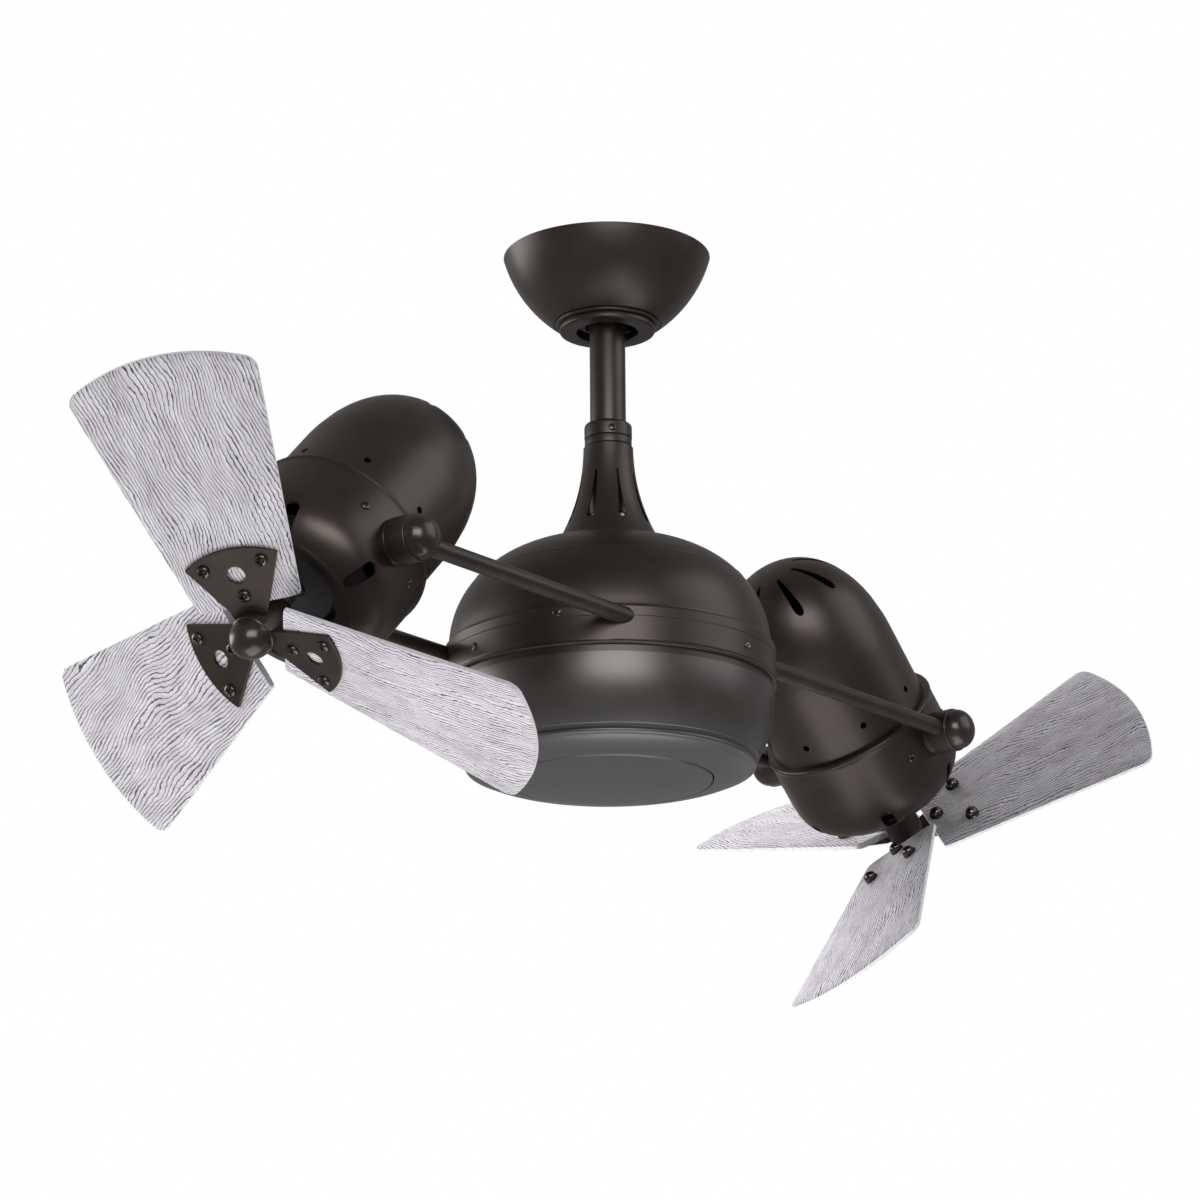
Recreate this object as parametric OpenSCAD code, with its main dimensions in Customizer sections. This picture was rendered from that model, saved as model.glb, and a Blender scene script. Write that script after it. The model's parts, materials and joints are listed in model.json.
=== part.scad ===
// Twin head ceiling fan: a canopy and downrod carry a turning centre housing, whose two
// through-rods hold a tilting motor head with a three-blade rotor at each end.
// Origin: on the fan's upright axis in the plane of the ceiling. +Z is up, X runs along the rods.

/* [Ceiling mount] */
// Radius of the canopy's rim at the ceiling
canopy_r = 77.5; // [70:0.5:95]
// Depth of the canopy's foot below the ceiling
canopy_h = 54; // [50:0.5:64]
// Step from the trim ring out to the canopy's foot
foot_step = 2.5; // [2:0.1:4]
// Radius of the arc that the canopy's side follows
canopy_arc_r = 99.4; // [80:1:160]
// Wall of the canopy
canopy_wall = 1.6; // [1:0.1:2.5]
// Gap round the downrod where it swings in the canopy
swing_gap = 9.65; // [9.1:0.05:12]
// Gap between the canopy's screw heads and the trim ring under it
trim_gap = 0.6; // [0.3:0.1:1.2]
// Height of the trim ring
trim_h = 5.2; // [4:0.2:6]
// Wall of the trim ring
trim_wall = 1.2; // [0.8:0.1:1.6]
// Radius of the trim ring's rounded edge
trim_round = 2; // [1:0.1:2.6]
// Distance between the bracket's two ceiling screws
bolt_spacing = 88.9; // [86:0.1:96]
// Width of the bracket's screw slots
bolt_slot_w = 4.8; // [4:0.2:6]
// Length of the bracket's screw slots
bolt_slot_l = 12; // [8:0.5:14]
// Length of the bracket's strap beyond each ceiling screw
strap_end = 11.55; // [9:0.05:14]
// Width of the bracket's strap
strap_w = 42; // [36:1:50]
// Thickness of the bracket's sheet
bracket_t = 2.5; // [1.5:0.1:3.5]
// Radius of the bracket's wiring hole
wire_hole_r = 14; // [8:0.5:17]

/* [Hanger] */
// Radius of the hanger ball
ball_r = 26; // [24:0.5:27]
// Height of the ball's centre over the canopy's foot
ball_lift = 26; // [25.5:0.1:27]
// Outer radius of the downrod
downrod_r = 13.35; // [12:0.05:13.5]
// Wall of the downrod
downrod_wall = 2.9; // [2:0.1:4]
// Radius of the downrod's cross pins
pin_r = 3.2; // [2:0.1:4]
// Wall of the collar on the downrod
collar_wall = 4.35; // [3.6:0.05:5.5]
// Height of the collar
collar_h = 16; // [12:0.5:20]
// Foot radius of the yoke cover
cover_foot_r = 39.4; // [36:0.2:42]
// Height of the yoke cover
cover_h = 83; // [76:1:88]
// How sharply the yoke cover flares towards its foot
cover_flare = 2.3; // [1.6:0.1:3]
// Gap between the yoke cover and the dome that turns under it
cover_gap = 0.8; // [0.5:0.1:1.5]
// Wall of the yoke cover
cover_wall = 1.3; // [0.8:0.1:1.4]
// Number of vent slots in the yoke cover
cover_slots = 8; // [4:1:10]
// Gap between the yoke and its cover
yoke_gap = 0.7; // [0.5:0.1:1.1]
// Length of the yoke
yoke_l = 50; // [44:1:54]
// Radius of the fixed spindle
spindle_r = 10; // [8:0.1:11]
// Radius of the spindle's wiring bore
wire_bore_r = 4; // [2:0.5:5]

/* [Centre housing] */
// Depth of the rods' axis below the ceiling
arm_drop = 315; // [300:1:420]
// Radius of the band round the housing
band_r = 121.7; // [119.5:0.1:124]
// Height of the band over the rods
band_over = 1.05; // [0.8:0.05:2]
// Height of the band below the rods' axis
band_foot = 20; // [18:0.5:24]
// Width of the ledge between the dome and the band
ledge_w = 3.4; // [2:0.1:5]
// Height of the dome's flat crown above the rods' axis
crown_z = 88.3; // [86:0.1:91]
// Radius of the dome's flat crown
crown_r = 24.5; // [20:0.5:30]
// Power of the dome's curve, which is an ellipse at 1 and fuller below it
dome_power = 0.94; // [0.8:0.01:1.05]
// Wall of the housing's shells
shell_t = 2.5; // [1.8:0.1:3]
// Step from the band in to the bowl
bowl_step = 1.5; // [0.8:0.1:2.2]
// Radius of the bowl at its rim
rim_r = 105.4; // [98:0.2:112]
// Height of the groove between the band and the bowl
groove_h = 6; // [4:0.5:9]
// Depth of the bowl's rim below the rods' axis
rim_z = 78; // [70:1:86]
// Bulge of the bottom below the rim
bottom_sag = 17; // [15:1:24]
// Radius of the bottom plate
plate_r = 74.2; // [60:0.5:80]
// Radius of the housing's screws
band_screw_r = 2; // [1.5:0.1:2.5]

/* [Rods and knuckles] */
// Free length of the rods from the band to each head's pivot
rod_reach = 199.6; // [196:0.2:240]
// Gap between the rods and the heads
rod_gap = 5.35; // [4.5:0.05:6.5]
// Radius of the rods
rod_r = 6.35; // [5:0.05:6.8]
// Radius of the knuckles
knuckle_r = 16.6; // [14.5:0.1:18]
// Gap between the knuckles and the heads
knuckle_gap = 2.7; // [1.5:0.1:3.5]
// Width of the knuckles
knuckle_w = 17; // [16.6:0.1:20]
// Height of a knuckle's domed cap
cap_h = 13.7; // [11:0.1:17]
// Radius of the pins that the heads tilt on
trunnion_r = 5; // [4:0.1:6]

/* [Motor heads] */
// Tilt of the left head below level, as photographed
tilt_left = 46; // [20:1:70]
// Tilt of the right head below level, as photographed
tilt_right = 44; // [20:1:70]
// Step from the front bowl in to the rear cover
seam_step = 7.3; // [6.4:0.1:9]
// Distance from the pivot back to the foot of the rear dome
rear_foot = 79; // [76:1:90]
// Length of the rear dome
rear_dome = 88; // [70:1:95]
// Radius of the front bowl's straight skirt
front_r = 69.3; // [68.6:0.1:70.2]
// Distance from the pivot back to the seam
seam_s = 26.5; // [25:0.5:30]
// Radius of the front bowl's nose
nose_r = 50.2; // [45:0.2:56]
// Distance from the pivot forward to the nose
nose_s = 48.5; // [46:0.5:54]
// Wall of the head's shells
head_t = 2; // [1.4:0.1:2.4]
// Radius of the opening in the nose
nose_hole_r = 37; // [34:0.5:42]
// Number of vents round the rear dome
dome_vents = 8; // [4:1:10]
// Number of small holes round the rear cover
cover_holes = 8; // [4:1:12]
// Number of long slots round the front bowl
bowl_slots = 6; // [3:1:8]
// Length of a slot along the head
slot_l = 20; // [14:0.5:22]
// Width of a slot
slot_w = 10; // [6:0.5:12]
// Gap between the motor's casing and the rear cover
motor_gap = 7; // [6:0.5:10]
// Radius of the motor's shaft
shaft_r = 6; // [4.5:0.1:7]

/* [Rotors] */
// Distance from the pivot forward to the blades
blade_s = 83; // [80:0.5:92]
// Pitch of the blades
blade_pitch = 17; // [8:1:20]
// Turn of the left rotor, as photographed
turn_left = 110; // [0:1:119]
// Turn of the right rotor, as photographed
turn_right = 109; // [0:1:119]
// Radius of the rotor at the middle of a blade's tip
tip_r = 208; // [180:1:211]
// Radius of the arc at a blade's tip
tip_arc_r = 142; // [120:1:180]
// Radius of a blade's outer corners
tip_corner_r = 10; // [4:1:20]
// Half of a blade's width near its tip
tip_half_w = 67.5; // [55:0.5:72]
// Half of a blade's width at its root
root_half_w = 37; // [34:0.5:42]
// Gap between the hub and a blade's root
root_gap = 5.5; // [4:0.5:10]
// Thickness of a blade
blade_t = 5; // [3:0.5:6]
// Number of blades on a rotor
blades = 3; // [3:1:3]
// Radius of the hub's barrel
hub_r = 14; // [12:0.1:15]
// Step from the hub out to its round cap
cap_step = 1.4; // [1.2:0.1:3]
// Outer radius of a blade bracket
bracket_r = 64; // [58:0.5:68]
// Angle of a blade bracket's sides
bracket_a = 28; // [24:1:32]
// Thickness of a blade bracket
plate_t = 2.5; // [1.5:0.1:3.5]
// Radius of the hole in a blade bracket
bracket_hole_r = 6.3; // [4:0.1:7]
// Radius of the blades' screws
blade_screw_r = 2; // [1.5:0.1:2.4]

/* [Fits] */
// Gap between a turning pin and its bore
run_fit = 0.05; // [0.03:0.01:0.08]
// Gap round a piece that is pressed or clamped
press_fit = 0.05; // [0.02:0.01:0.1]
// Gap between parts that pass each other
seat_gap = 0.3; // [0.2:0.05:0.4]

/* [Hidden] */

$fn = 96;
LEFT = -1;
RIGHT = 1;
// How far a cutting shape runs past the face that it cuts
over = 1;
// Steps along one computed arc
arc_n = 14;

bronze = "#3b342f";
bronze_light = "#4a423b";
bowl_grey = "#4c4b4b";
barnwood = "#cbc6cd";
zinc = "#9a9ba0";
steel = "#7c7d82";
brass = "#a08a55";
black = "#1b1b1d";

// Ceiling mount
ball_z = ball_lift - canopy_h;
ball_flat = 14;                              // height of the ball's flat top over its centre
ball_skirt = ball_r - 5;                     // depth of the ball's open foot under its centre
socket_wall = 9;                             // ring of metal round the ball's seat
socket_r = ball_r + seat_gap + socket_wall;
socket_foot = ball_z - ball_r + 8;
socket_top = ball_z - 6;
socket_hole_r = downrod_r + 5.9;             // opening under the ball's seat
strap_l = bolt_spacing + 2 * strap_end;
leg_w = 24;                                  // width of the bracket's two legs
canopy_floor = -canopy_h + canopy_wall;
canopy_screw_r = 2;
canopy_head_r = 3.4;
canopy_screw_at = socket_r - socket_wall / 2;
screw_head_t = 1.6;
canopy_hole_r = downrod_r + swing_gap;
trim_r = canopy_screw_at + canopy_head_r + trim_gap + trim_wall;
canopy_foot_r = trim_r + foot_step;

// Centre housing, with heights over the rods' axis
band_top = rod_r + band_over;
dome_r = band_r - ledge_w;
dome_n = 20;                                 // steps along the dome's curve
bowl_r = band_r - bowl_step;
bowl_top = band_foot + groove_h;
rod_y = front_r + rod_gap + rod_r;
pivot_x = band_r + rod_reach;
frame_foot = 6 - band_foot;
frame_t = 4;
frame_r = band_r - shell_t - press_fit;
rim_wall = 5;
hub_wall = 4;
bearing_r = spindle_r + 10;
bearing_h = 12;
frame_hub_top = crown_z - 21.5;
frame_hub_foot = frame_foot - 16;
frame_hole_r = 18;                           // lightening holes round the frame
clamp_size = [24, 18];
clamp_out = dome_r - shell_t - 2 * seat_gap;    // how far out the clamps' corners reach
clamp_x = sqrt(pow(clamp_out, 2) - pow(rod_y + clamp_size.y / 2, 2)) - clamp_size.x / 2;
clamp_cover = 4;                             // metal of the clamps over the rods
brush_z = 20;
brush_h = 22;
brush_t = 4;
nut_h = 6;
spindle_foot = frame_hub_foot - nut_h - seat_gap - 2;
band_screws_low = [-88, 92, 165, -15];
band_screws_high = [-160, 20];
band_screw_low_z = 11 - band_foot;
band_screw_high_z = band_top - 3.4;
rod_l = 2 * (pivot_x - knuckle_r / 2);

// Hanger, with heights over the rods' axis
arm_z = -arm_drop;
collar_r = downrod_r + collar_wall;
collar_round = 2.4;                          // radius of the collar's shoulder
collar_screw_r = 2;
cover_foot_z = dome_z(cover_foot_r) + cover_gap;
cover_top_z = cover_foot_z + cover_h;
cover_neck_r = collar_r + 0.7;
yoke_r = cover_neck_r - cover_wall - yoke_gap;
yoke_top_z = cover_top_z - 10;
yoke_foot_z = yoke_top_z - yoke_l;
downrod_foot_z = yoke_top_z - 28;
yoke_pin_z = yoke_top_z - 13;
collar_screw_a = -132;
cover_slot_a = 11.8;                         // turn of the first vent slot
cover_slot_top = 26;                         // from the cover's top to a slot's narrow end
cover_slot_foot = cover_h - 17;              // from the cover's top to a slot's wide end
cover_slot_w = [0.8, 4.6];                   // width of a slot at its two ends
spindle_flange_r = spindle_r + 5;
flange_t = 4;

// Heads, with stations along the head's own axis from the pivot
knuckle_in = front_r + knuckle_gap;
knuckle_out = knuckle_in + knuckle_w;
rear_r = front_r - seam_step;
motor_r = rear_r - head_t - motor_gap;
skirt_s = -3;
motor_foot = -70;
motor_nose = 24;
stator_bore_r = 29;
rotor_core_r = stator_bore_r - 0.4;
bearing_out_r = shaft_r + 8;
bearing_w = 8;
casing_end = 3;                              // wall at each end of the motor's casing
bearing_seats = [motor_foot + casing_end, motor_nose - casing_end - bearing_w];
trunnion_boss_in = front_r - head_t - 7.3;
trunnion_root = motor_r - 3;
casing_boss_r = 12;
trunnion_head_r = trunnion_r + 3.5;
cap_r = knuckle_r - 1.2;                     // a knuckle's rim shows round its cap
bowl_screw_a = 27;
bowl_screw_r = 2;
hole_s = -seam_s - 17;
hole_r = 2.6;
vent_r = [19, rear_r - 15];                  // distance of a vent's two ends from the axis
vent_end_r = [1.2, 3.4];
slot_s = nose_s - 1 - slot_l / 2;            // station of a slot's middle
slot_in = nose_r - 0.7;                      // slots cut from here out, and leave the nose whole
casing_nose_r = [33, 28];                    // the casing's tapered nose, at its two ends
casing_nose_h = 9;
casing_post_r = 5;                           // posts that the bowl's screws run into

// Rotors
hub_ball_r = hub_r + cap_step;
root_rho = hub_r + root_gap;
tip_shoulder = 17;                           // from the tip back to a blade's full width
hub_foot = blade_s - 22;
ball_s = blade_s + 13;
hub_top = ball_s - sqrt(pow(hub_ball_r, 2) - pow(hub_r, 2));
stub_r = shaft_r - 1;
stub_l = 9;
bracket_apex = -8.5;                         // where a bracket's two sides would meet
bracket_hole_at = bracket_r - 20;
outer_screw_at = bracket_r - 8.6;
outer_screw_a = 22;
blade_screws_at = [outer_screw_at * [cos(outer_screw_a), sin(outer_screw_a)],
    outer_screw_at * [cos(outer_screw_a), -sin(outer_screw_a)], [bracket_r - 36, 0]];
blade_head_r = 4.6;                          // the blade screws' tall domed heads
blade_head_h = 3.2;
nut_r = 5.6;
nut_bore_h = 3;
blade_turn = 360 / blades;

// Points on an arc round c, from angle a to angle b
function arc(c, r, a, b, n = arc_n) =
    [for (i = [0:n]) c + r * [cos(a + (b - a) * i / n), sin(a + (b - a) * i / n)]];

// Points on an ellipse round c with half axes h, from angle a to angle b
function oval(c, h, a, b, n = arc_n) =
    [for (i = [0:n]) c + [h.x * cos(a + (b - a) * i / n), h.y * sin(a + (b - a) * i / n)]];

// Places its children on a head: +Z along the motor's axis, origin at the pivot
module on_head(side) {
    tilt = side == LEFT ? tilt_left : tilt_right;
    translate([side * pivot_x, 0, arm_z])
        rotate([0, side * (90 + tilt), 0])
            children();
}

// Places its children on one blade: +X out along the blade, Y across it, Z out of its front
module on_blade(side, i) {
    turn = side == LEFT ? turn_left : turn_right;
    on_head(side)
        rotate([0, 0, turn + i * blade_turn])
            translate([0, 0, blade_s])
                rotate([blade_pitch, 0, 0])
                    children();
}

// A cylinder along +X
module rod_x(r, l) {
    rotate([0, 90, 0]) cylinder(r = r, h = l);
}

// A cylinder out along Y, on the side that s names
module rod_y(r, l, s = 1) {
    rotate([-90 * s, 0, 0]) cylinder(r = r, h = l);
}

// A ring between two radii
module ring(r_out, r_in, h) {
    difference() {
        cylinder(r = r_out, h = h);
        translate([0, 0, -over]) cylinder(r = r_in, h = h + 2 * over);
    }
}

// A domed screw head on a shank that runs down from z = 0
module screw(r, l, head_r, head_h) {
    rotate_extrude($fn = 32)
        polygon(concat([[0, -l], [r, -l], [r, 0], [head_r, 0]],
            oval([0, head_h * 0.3], [head_r, head_h * 0.7], 0, 90, 5)));
}

// ---- Ceiling mount ----

// Outline of the canopy's side: an arc from the rim at the ceiling to the foot
function canopy_side(inset) =
    let (p = [canopy_r, 0], q = [canopy_foot_r, -canopy_h],
         m = (p + q) / 2, d = p - q, half = norm(d) / 2,
         n = [-d.y, d.x] / norm(d),
         c = m + n * sqrt(pow(canopy_arc_r, 2) - half * half),
         a = atan2(p.y - c.y, p.x - c.x), b = atan2(q.y - c.y, q.x - c.x))
    arc(c, canopy_arc_r - inset, a, b);

module canopy() color(bronze) {
    difference() {
        rotate_extrude()
            polygon(concat(canopy_side(0), [[0, -canopy_h], [0, 0]]));
        rotate_extrude()
            intersection() {
                polygon(concat(canopy_side(canopy_wall), [[0, -canopy_h], [0, over], [canopy_r, over]]));
                translate([0, canopy_floor]) square([canopy_r, canopy_h + over]);
            }
        translate([0, 0, -canopy_h - over]) cylinder(r = canopy_hole_r, h = canopy_h);
        canopy_screw_holes(press_fit);
    }
}

module canopy_screw_holes(fit) {
    for (s = [LEFT, RIGHT])
        translate([s * canopy_screw_at, 0, -canopy_h - over])
            cylinder(r = canopy_screw_r + fit, h = canopy_h + socket_top - 2 + over, $fn = 32);
}

module canopy_screws() color(zinc)
    for (s = [LEFT, RIGHT])
        translate([s * canopy_screw_at, 0, -canopy_h])
            mirror([0, 0, 1]) screw(canopy_screw_r, canopy_h + socket_top - 4, canopy_head_r, screw_head_t);

module canopy_trim_ring() color(bronze_light)
    translate([0, 0, -canopy_h - trim_h]) rotate_extrude()
        difference() {
            polygon(concat([[canopy_hole_r, 0]],
                arc([trim_r - trim_round, trim_round], trim_round, -90, 0, 6),
                [[trim_r, trim_h], [canopy_hole_r, trim_h]]));
            translate([canopy_hole_r + trim_wall, trim_wall])
                square([trim_r - canopy_hole_r - 2 * trim_wall, trim_h]);
        }

module ceiling_bracket() color(zinc) {
    difference() {
        union() {
            translate([-strap_l / 2, -strap_w / 2, -bracket_t]) cube([strap_l, strap_w, bracket_t]);
            for (s = [LEFT, RIGHT])
                translate([s * (socket_r - bracket_t / 2), 0, (socket_foot - bracket_t) / 2])
                    cube([bracket_t, leg_w, -socket_foot - bracket_t], center = true);
            translate([0, 0, socket_foot]) cylinder(r = socket_r, h = socket_top - socket_foot);
        }
        translate([0, 0, ball_z]) sphere(r = ball_r + seat_gap);
        translate([0, 0, socket_foot - over]) cylinder(r = socket_hole_r, h = over * 3);
        // the downrod slides in from one side before the ball drops on its seat
        translate([-downrod_r - over, 0, socket_foot - over])
            cube([2 * (downrod_r + over), socket_r + over, socket_top - socket_foot + 2 * over]);
        translate([0, 0, -bracket_t - over]) cylinder(r = wire_hole_r, h = bracket_t + 2 * over);
        for (s = [LEFT, RIGHT])
            translate([s * bolt_spacing / 2, 0, -bracket_t - over]) slot_hole();
        canopy_screw_holes(press_fit);
    }
}

module slot_hole() {
    w = bolt_slot_w;
    for (s = [LEFT, RIGHT])
        translate([s * (bolt_slot_l - w) / 2, 0, 0])
            cylinder(r = w / 2, h = bracket_t + 2 * over, $fn = 48);
    translate([-(bolt_slot_l - w) / 2, -w / 2, 0]) cube([bolt_slot_l - w, w, bracket_t + 2 * over]);
}

// ---- Hanger ----

module hanger_ball() color(black)
    difference() {
        translate([0, 0, ball_z]) intersection() {
            sphere(r = ball_r);
            translate([0, 0, -ball_skirt]) cylinder(r = ball_r + over, h = ball_flat + ball_skirt);
        }
        translate([0, 0, ball_z - ball_r]) cylinder(r = downrod_r + press_fit, h = 2 * ball_r);
        translate([0, ball_r, ball_z]) rod_y(pin_r + press_fit, 2 * ball_r, LEFT);
    }

module downrod() color(bronze) {
    top = ball_z + ball_flat;
    foot = arm_z + downrod_foot_z;
    difference() {
        translate([0, 0, foot]) cylinder(r = downrod_r, h = top - foot);
        translate([0, 0, foot - over]) cylinder(r = downrod_r - downrod_wall, h = top - foot + 2 * over);
        translate([0, ball_r, ball_z]) rod_y(pin_r + press_fit, 2 * ball_r, LEFT);
        translate([-ball_r, 0, arm_z + yoke_pin_z]) rod_x(pin_r + press_fit, 2 * ball_r);
    }
}

module downrod_pin() color(zinc)
    translate([0, ball_r - 2, ball_z]) rod_y(pin_r, 2 * (ball_r - 2), LEFT);

module rod_collar() color(bronze)
    translate([0, 0, arm_z + cover_top_z]) difference() {
        rotate_extrude()
            polygon(concat([[downrod_r + press_fit, 0], [collar_r - 0.6, 0], [collar_r, 0.6]],
                arc([collar_r - collar_round, collar_h - collar_round - 1], collar_round, 0, 70, 5),
                [[downrod_r + 0.9, collar_h], [downrod_r + press_fit, collar_h]]));
        collar_screw_place() translate([0, 0, -collar_r])
            cylinder(r = collar_screw_r + press_fit, h = 2 * collar_r, $fn = 32);
    }

module collar_screw_place() {
    translate([0, 0, collar_h / 2 + 0.5])
        rotate([0, 0, collar_screw_a]) rotate([0, 90, 0])
            translate([0, 0, collar_r]) children();
}

module collar_screw() color(bronze_light)
    translate([0, 0, arm_z + cover_top_z]) collar_screw_place()
        difference() {
            screw(collar_screw_r, collar_wall - press_fit, 3.2, screw_head_t);
            translate([0, 0, 1]) cylinder(r = 1.4, h = 3, $fn = 6);
        }

// Radius of the yoke cover at a distance below its top
function cover_r(d) = cover_neck_r + (cover_foot_r - cover_neck_r) * pow(d / cover_h, cover_flare);
function cover_line(inset) =
    [for (i = [0:arc_n]) let (d = 5 + (cover_h - 5) * i / arc_n) [cover_r(d) - inset, -d]];

module yoke_cover() color(bronze)
    translate([0, 0, arm_z + cover_top_z]) difference() {
        rotate_extrude()
            polygon(concat([[downrod_r + seat_gap, 0], [collar_r - 1, 0], [collar_r - 0.2, -1],
                [collar_r - 0.2, -3], [collar_r - 0.7, -3.6], [collar_r - 0.7, -4.4]], cover_line(0),
                [for (i = [arc_n:-1:0]) cover_line(cover_wall)[i]],
                [[collar_r - cover_wall, -2], [downrod_r + seat_gap, -2]]));
        for (i = [0:cover_slots - 1])
            rotate([0, 0, cover_slot_a + i * 360 / cover_slots]) cover_slot();
    }

module cover_slot() {
    rotate([90, 0, 90]) linear_extrude(height = cover_foot_r + over)
        polygon([[-cover_slot_w[0] / 2, -cover_slot_top], [cover_slot_w[0] / 2, -cover_slot_top],
            [cover_slot_w[1] / 2, -cover_slot_foot], [-cover_slot_w[1] / 2, -cover_slot_foot]]);
}

module yoke() color(zinc)
    translate([0, 0, arm_z]) difference() {
        translate([0, 0, yoke_foot_z]) cylinder(r = yoke_r, h = yoke_l);
        translate([0, 0, downrod_foot_z]) cylinder(r = downrod_r + press_fit, h = yoke_l);
        translate([0, 0, yoke_foot_z - over]) cylinder(r = spindle_r + press_fit, h = yoke_l);
        translate([-yoke_r - over, 0, yoke_pin_z]) rod_x(pin_r + press_fit, 2 * (yoke_r + over));
    }

module yoke_pin() color(zinc)
    translate([-yoke_r, 0, arm_z + yoke_pin_z]) rod_x(pin_r, 2 * yoke_r);

module spindle() color(steel)
    translate([0, 0, arm_z]) difference() {
        union() {
            translate([0, 0, spindle_foot]) cylinder(r = spindle_r, h = downrod_foot_z - spindle_foot);
            translate([0, 0, yoke_foot_z - flange_t]) cylinder(r = spindle_flange_r, h = flange_t);
        }
        translate([0, 0, spindle_foot - over]) cylinder(r = wire_bore_r, h = arm_drop);
    }

module spindle_nut() color(zinc)
    translate([0, 0, arm_z + frame_hub_foot - nut_h - seat_gap])
        difference() {
            cylinder(r = spindle_r + 6, h = nut_h, $fn = 6);
            translate([0, 0, -over]) cylinder(r = spindle_r + press_fit, h = nut_h + 2 * over);
        }

module brush_block() color(black)
    translate([0, 0, arm_z + brush_z]) ring(spindle_r + brush_t, spindle_r + press_fit, brush_h);

// ---- Centre housing ----

module rod_pair(r) {
    for (s = [LEFT, RIGHT])
        translate([-band_r - over, s * rod_y, arm_z]) rod_x(r, 2 * (band_r + over));
}

module band_screw_places(angles, z) {
    for (a = angles)
        rotate([0, 0, a]) translate([band_r, 0, arm_z + z]) rotate([0, 90, 0]) children();
}

module band_screw_holes() {
    for (set = [[band_screws_low, band_screw_low_z], [band_screws_high, band_screw_high_z]])
        band_screw_places(set[0], set[1])
            translate([0, 0, -shell_t - rim_wall + 0.5])
                cylinder(r = band_screw_r + press_fit, h = shell_t + rim_wall + over, $fn = 32);
}

module upper_housing() color(bronze)
    difference() {
        translate([0, 0, arm_z]) rotate_extrude($fn = 128)
            polygon(concat(
                [[spindle_r + 2, crown_z]],
                dome_line(0),
                [[band_r - 0.6, band_top], [band_r, band_top - 0.6], [band_r, 0.2], [band_r - 0.3, 0],
                 [band_r - shell_t, 0], [band_r - shell_t, band_top - shell_t]],
                [for (i = [dome_n:-1:0]) dome_line(shell_t)[i]],
                [[spindle_r + 2, crown_z - shell_t]]));
        rod_pair(rod_r + seat_gap);
        band_screw_holes();
    }

// Outline of the dome from its crown down to the ledge, at the outer face or inset by a wall
function dome_line(inset) =
    [for (i = [0:dome_n]) let (a = 90 - 90 * i / dome_n)
        [crown_r + (dome_r - crown_r - inset) * pow(cos(a), dome_power),
         band_top + (crown_z - band_top - inset) * pow(sin(a), dome_power)]];

// Height of the dome's outer face at a radius
function dome_z(r) = band_top + (crown_z - band_top)
    * pow(1 - pow((r - crown_r) / (dome_r - crown_r), 2 / dome_power), dome_power / 2);

module lower_housing() color(bronze)
    difference() {
        translate([0, 0, arm_z]) rotate_extrude($fn = 128)
            polygon(concat(
                [[band_r - shell_t, 0], [band_r - 0.3, 0], [band_r, -0.2], [band_r, 1.8 - band_foot]],
                oval([band_r - 0.8, 0.6 - band_foot], [1.5, 1.2], 60, -90, 6),
                [[bowl_r - 1.6, -band_foot - 1], [bowl_r - 1.6, -bowl_top],
                 [frame_r - rim_wall, -bowl_top], [frame_r - rim_wall, frame_foot],
                 [band_r - shell_t, frame_foot]]));
        rod_pair(rod_r + seat_gap);
        band_screw_holes();
    }

module housing_screws() color(bronze_light)
    for (set = [[band_screws_low, band_screw_low_z], [band_screws_high, band_screw_high_z]])
        band_screw_places(set[0], set[1]) screw(band_screw_r, shell_t + rim_wall - 1, 3.3, 1.5);

module carrier_frame() color(steel)
    difference() {
        translate([0, 0, arm_z]) {
            translate([0, 0, frame_hub_foot])
                cylinder(r = bearing_r + hub_wall, h = frame_hub_top - frame_hub_foot);
            translate([0, 0, frame_foot]) cylinder(r = frame_r, h = frame_t);
            translate([0, 0, frame_foot]) ring(frame_r, frame_r - rim_wall, band_top - shell_t - frame_foot);
            for (x = [-clamp_x, clamp_x], s = [LEFT, RIGHT])
                translate([x - clamp_size.x / 2, s * rod_y - clamp_size.y / 2, frame_foot])
                    cube([clamp_size.x, clamp_size.y, rod_r + clamp_cover - frame_foot]);
        }
        translate([0, 0, arm_z + frame_hub_foot - over]) cylinder(r = bearing_r, h = arm_drop);
        for (i = [0:5])
            rotate([0, 0, 60 * i]) translate([frame_r / 2, 0, arm_z + frame_foot - over])
                cylinder(r = frame_hole_r, h = frame_t + 2 * over, $fn = 48);
        rod_pair(rod_r + press_fit);
        band_screw_holes();
    }

module main_bearings() color(steel)
    for (z = [frame_hub_foot, frame_hub_top - bearing_h])
        translate([0, 0, arm_z + z]) ring(bearing_r - press_fit, spindle_r + run_fit, bearing_h);

module slip_ring() color(brass)
    translate([0, 0, arm_z + brush_z]) difference() {
        cylinder(r = bearing_r - press_fit, h = brush_h);
        translate([0, 0, -over]) cylinder(r = spindle_r + brush_t + seat_gap, h = brush_h + 2 * over);
        for (i = [0:2])
            translate([0, 0, 3.5 + 6 * i]) ring(bearing_r, bearing_r - 1.5, 3);
    }

module rod(s) color(bronze)
    translate([-rod_l / 2, s * rod_y, arm_z]) rod_x(rod_r, rod_l);

// Radius of the bowl at a depth below its top
function bowl_side_r(d) = bowl_r - (bowl_r - rim_r) * pow(d / (rim_z - bowl_top), 2.3);
function bowl_side(inset) =
    [for (i = [0:10]) let (d = (rim_z - bowl_top) * i / 10) [bowl_side_r(d) - inset, -bowl_top - d]];

// Height of the bottom's outer face at a radius
function bottom_z(r) = -rim_z - bottom_sag * sqrt(max(0, 1 - pow(r / rim_r, 2)));
function bottom_line(r0, r1, lift, n = 8) =
    [for (i = [0:n]) let (r = r0 + (r1 - r0) * i / n) [r, bottom_z(r) + lift]];

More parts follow.
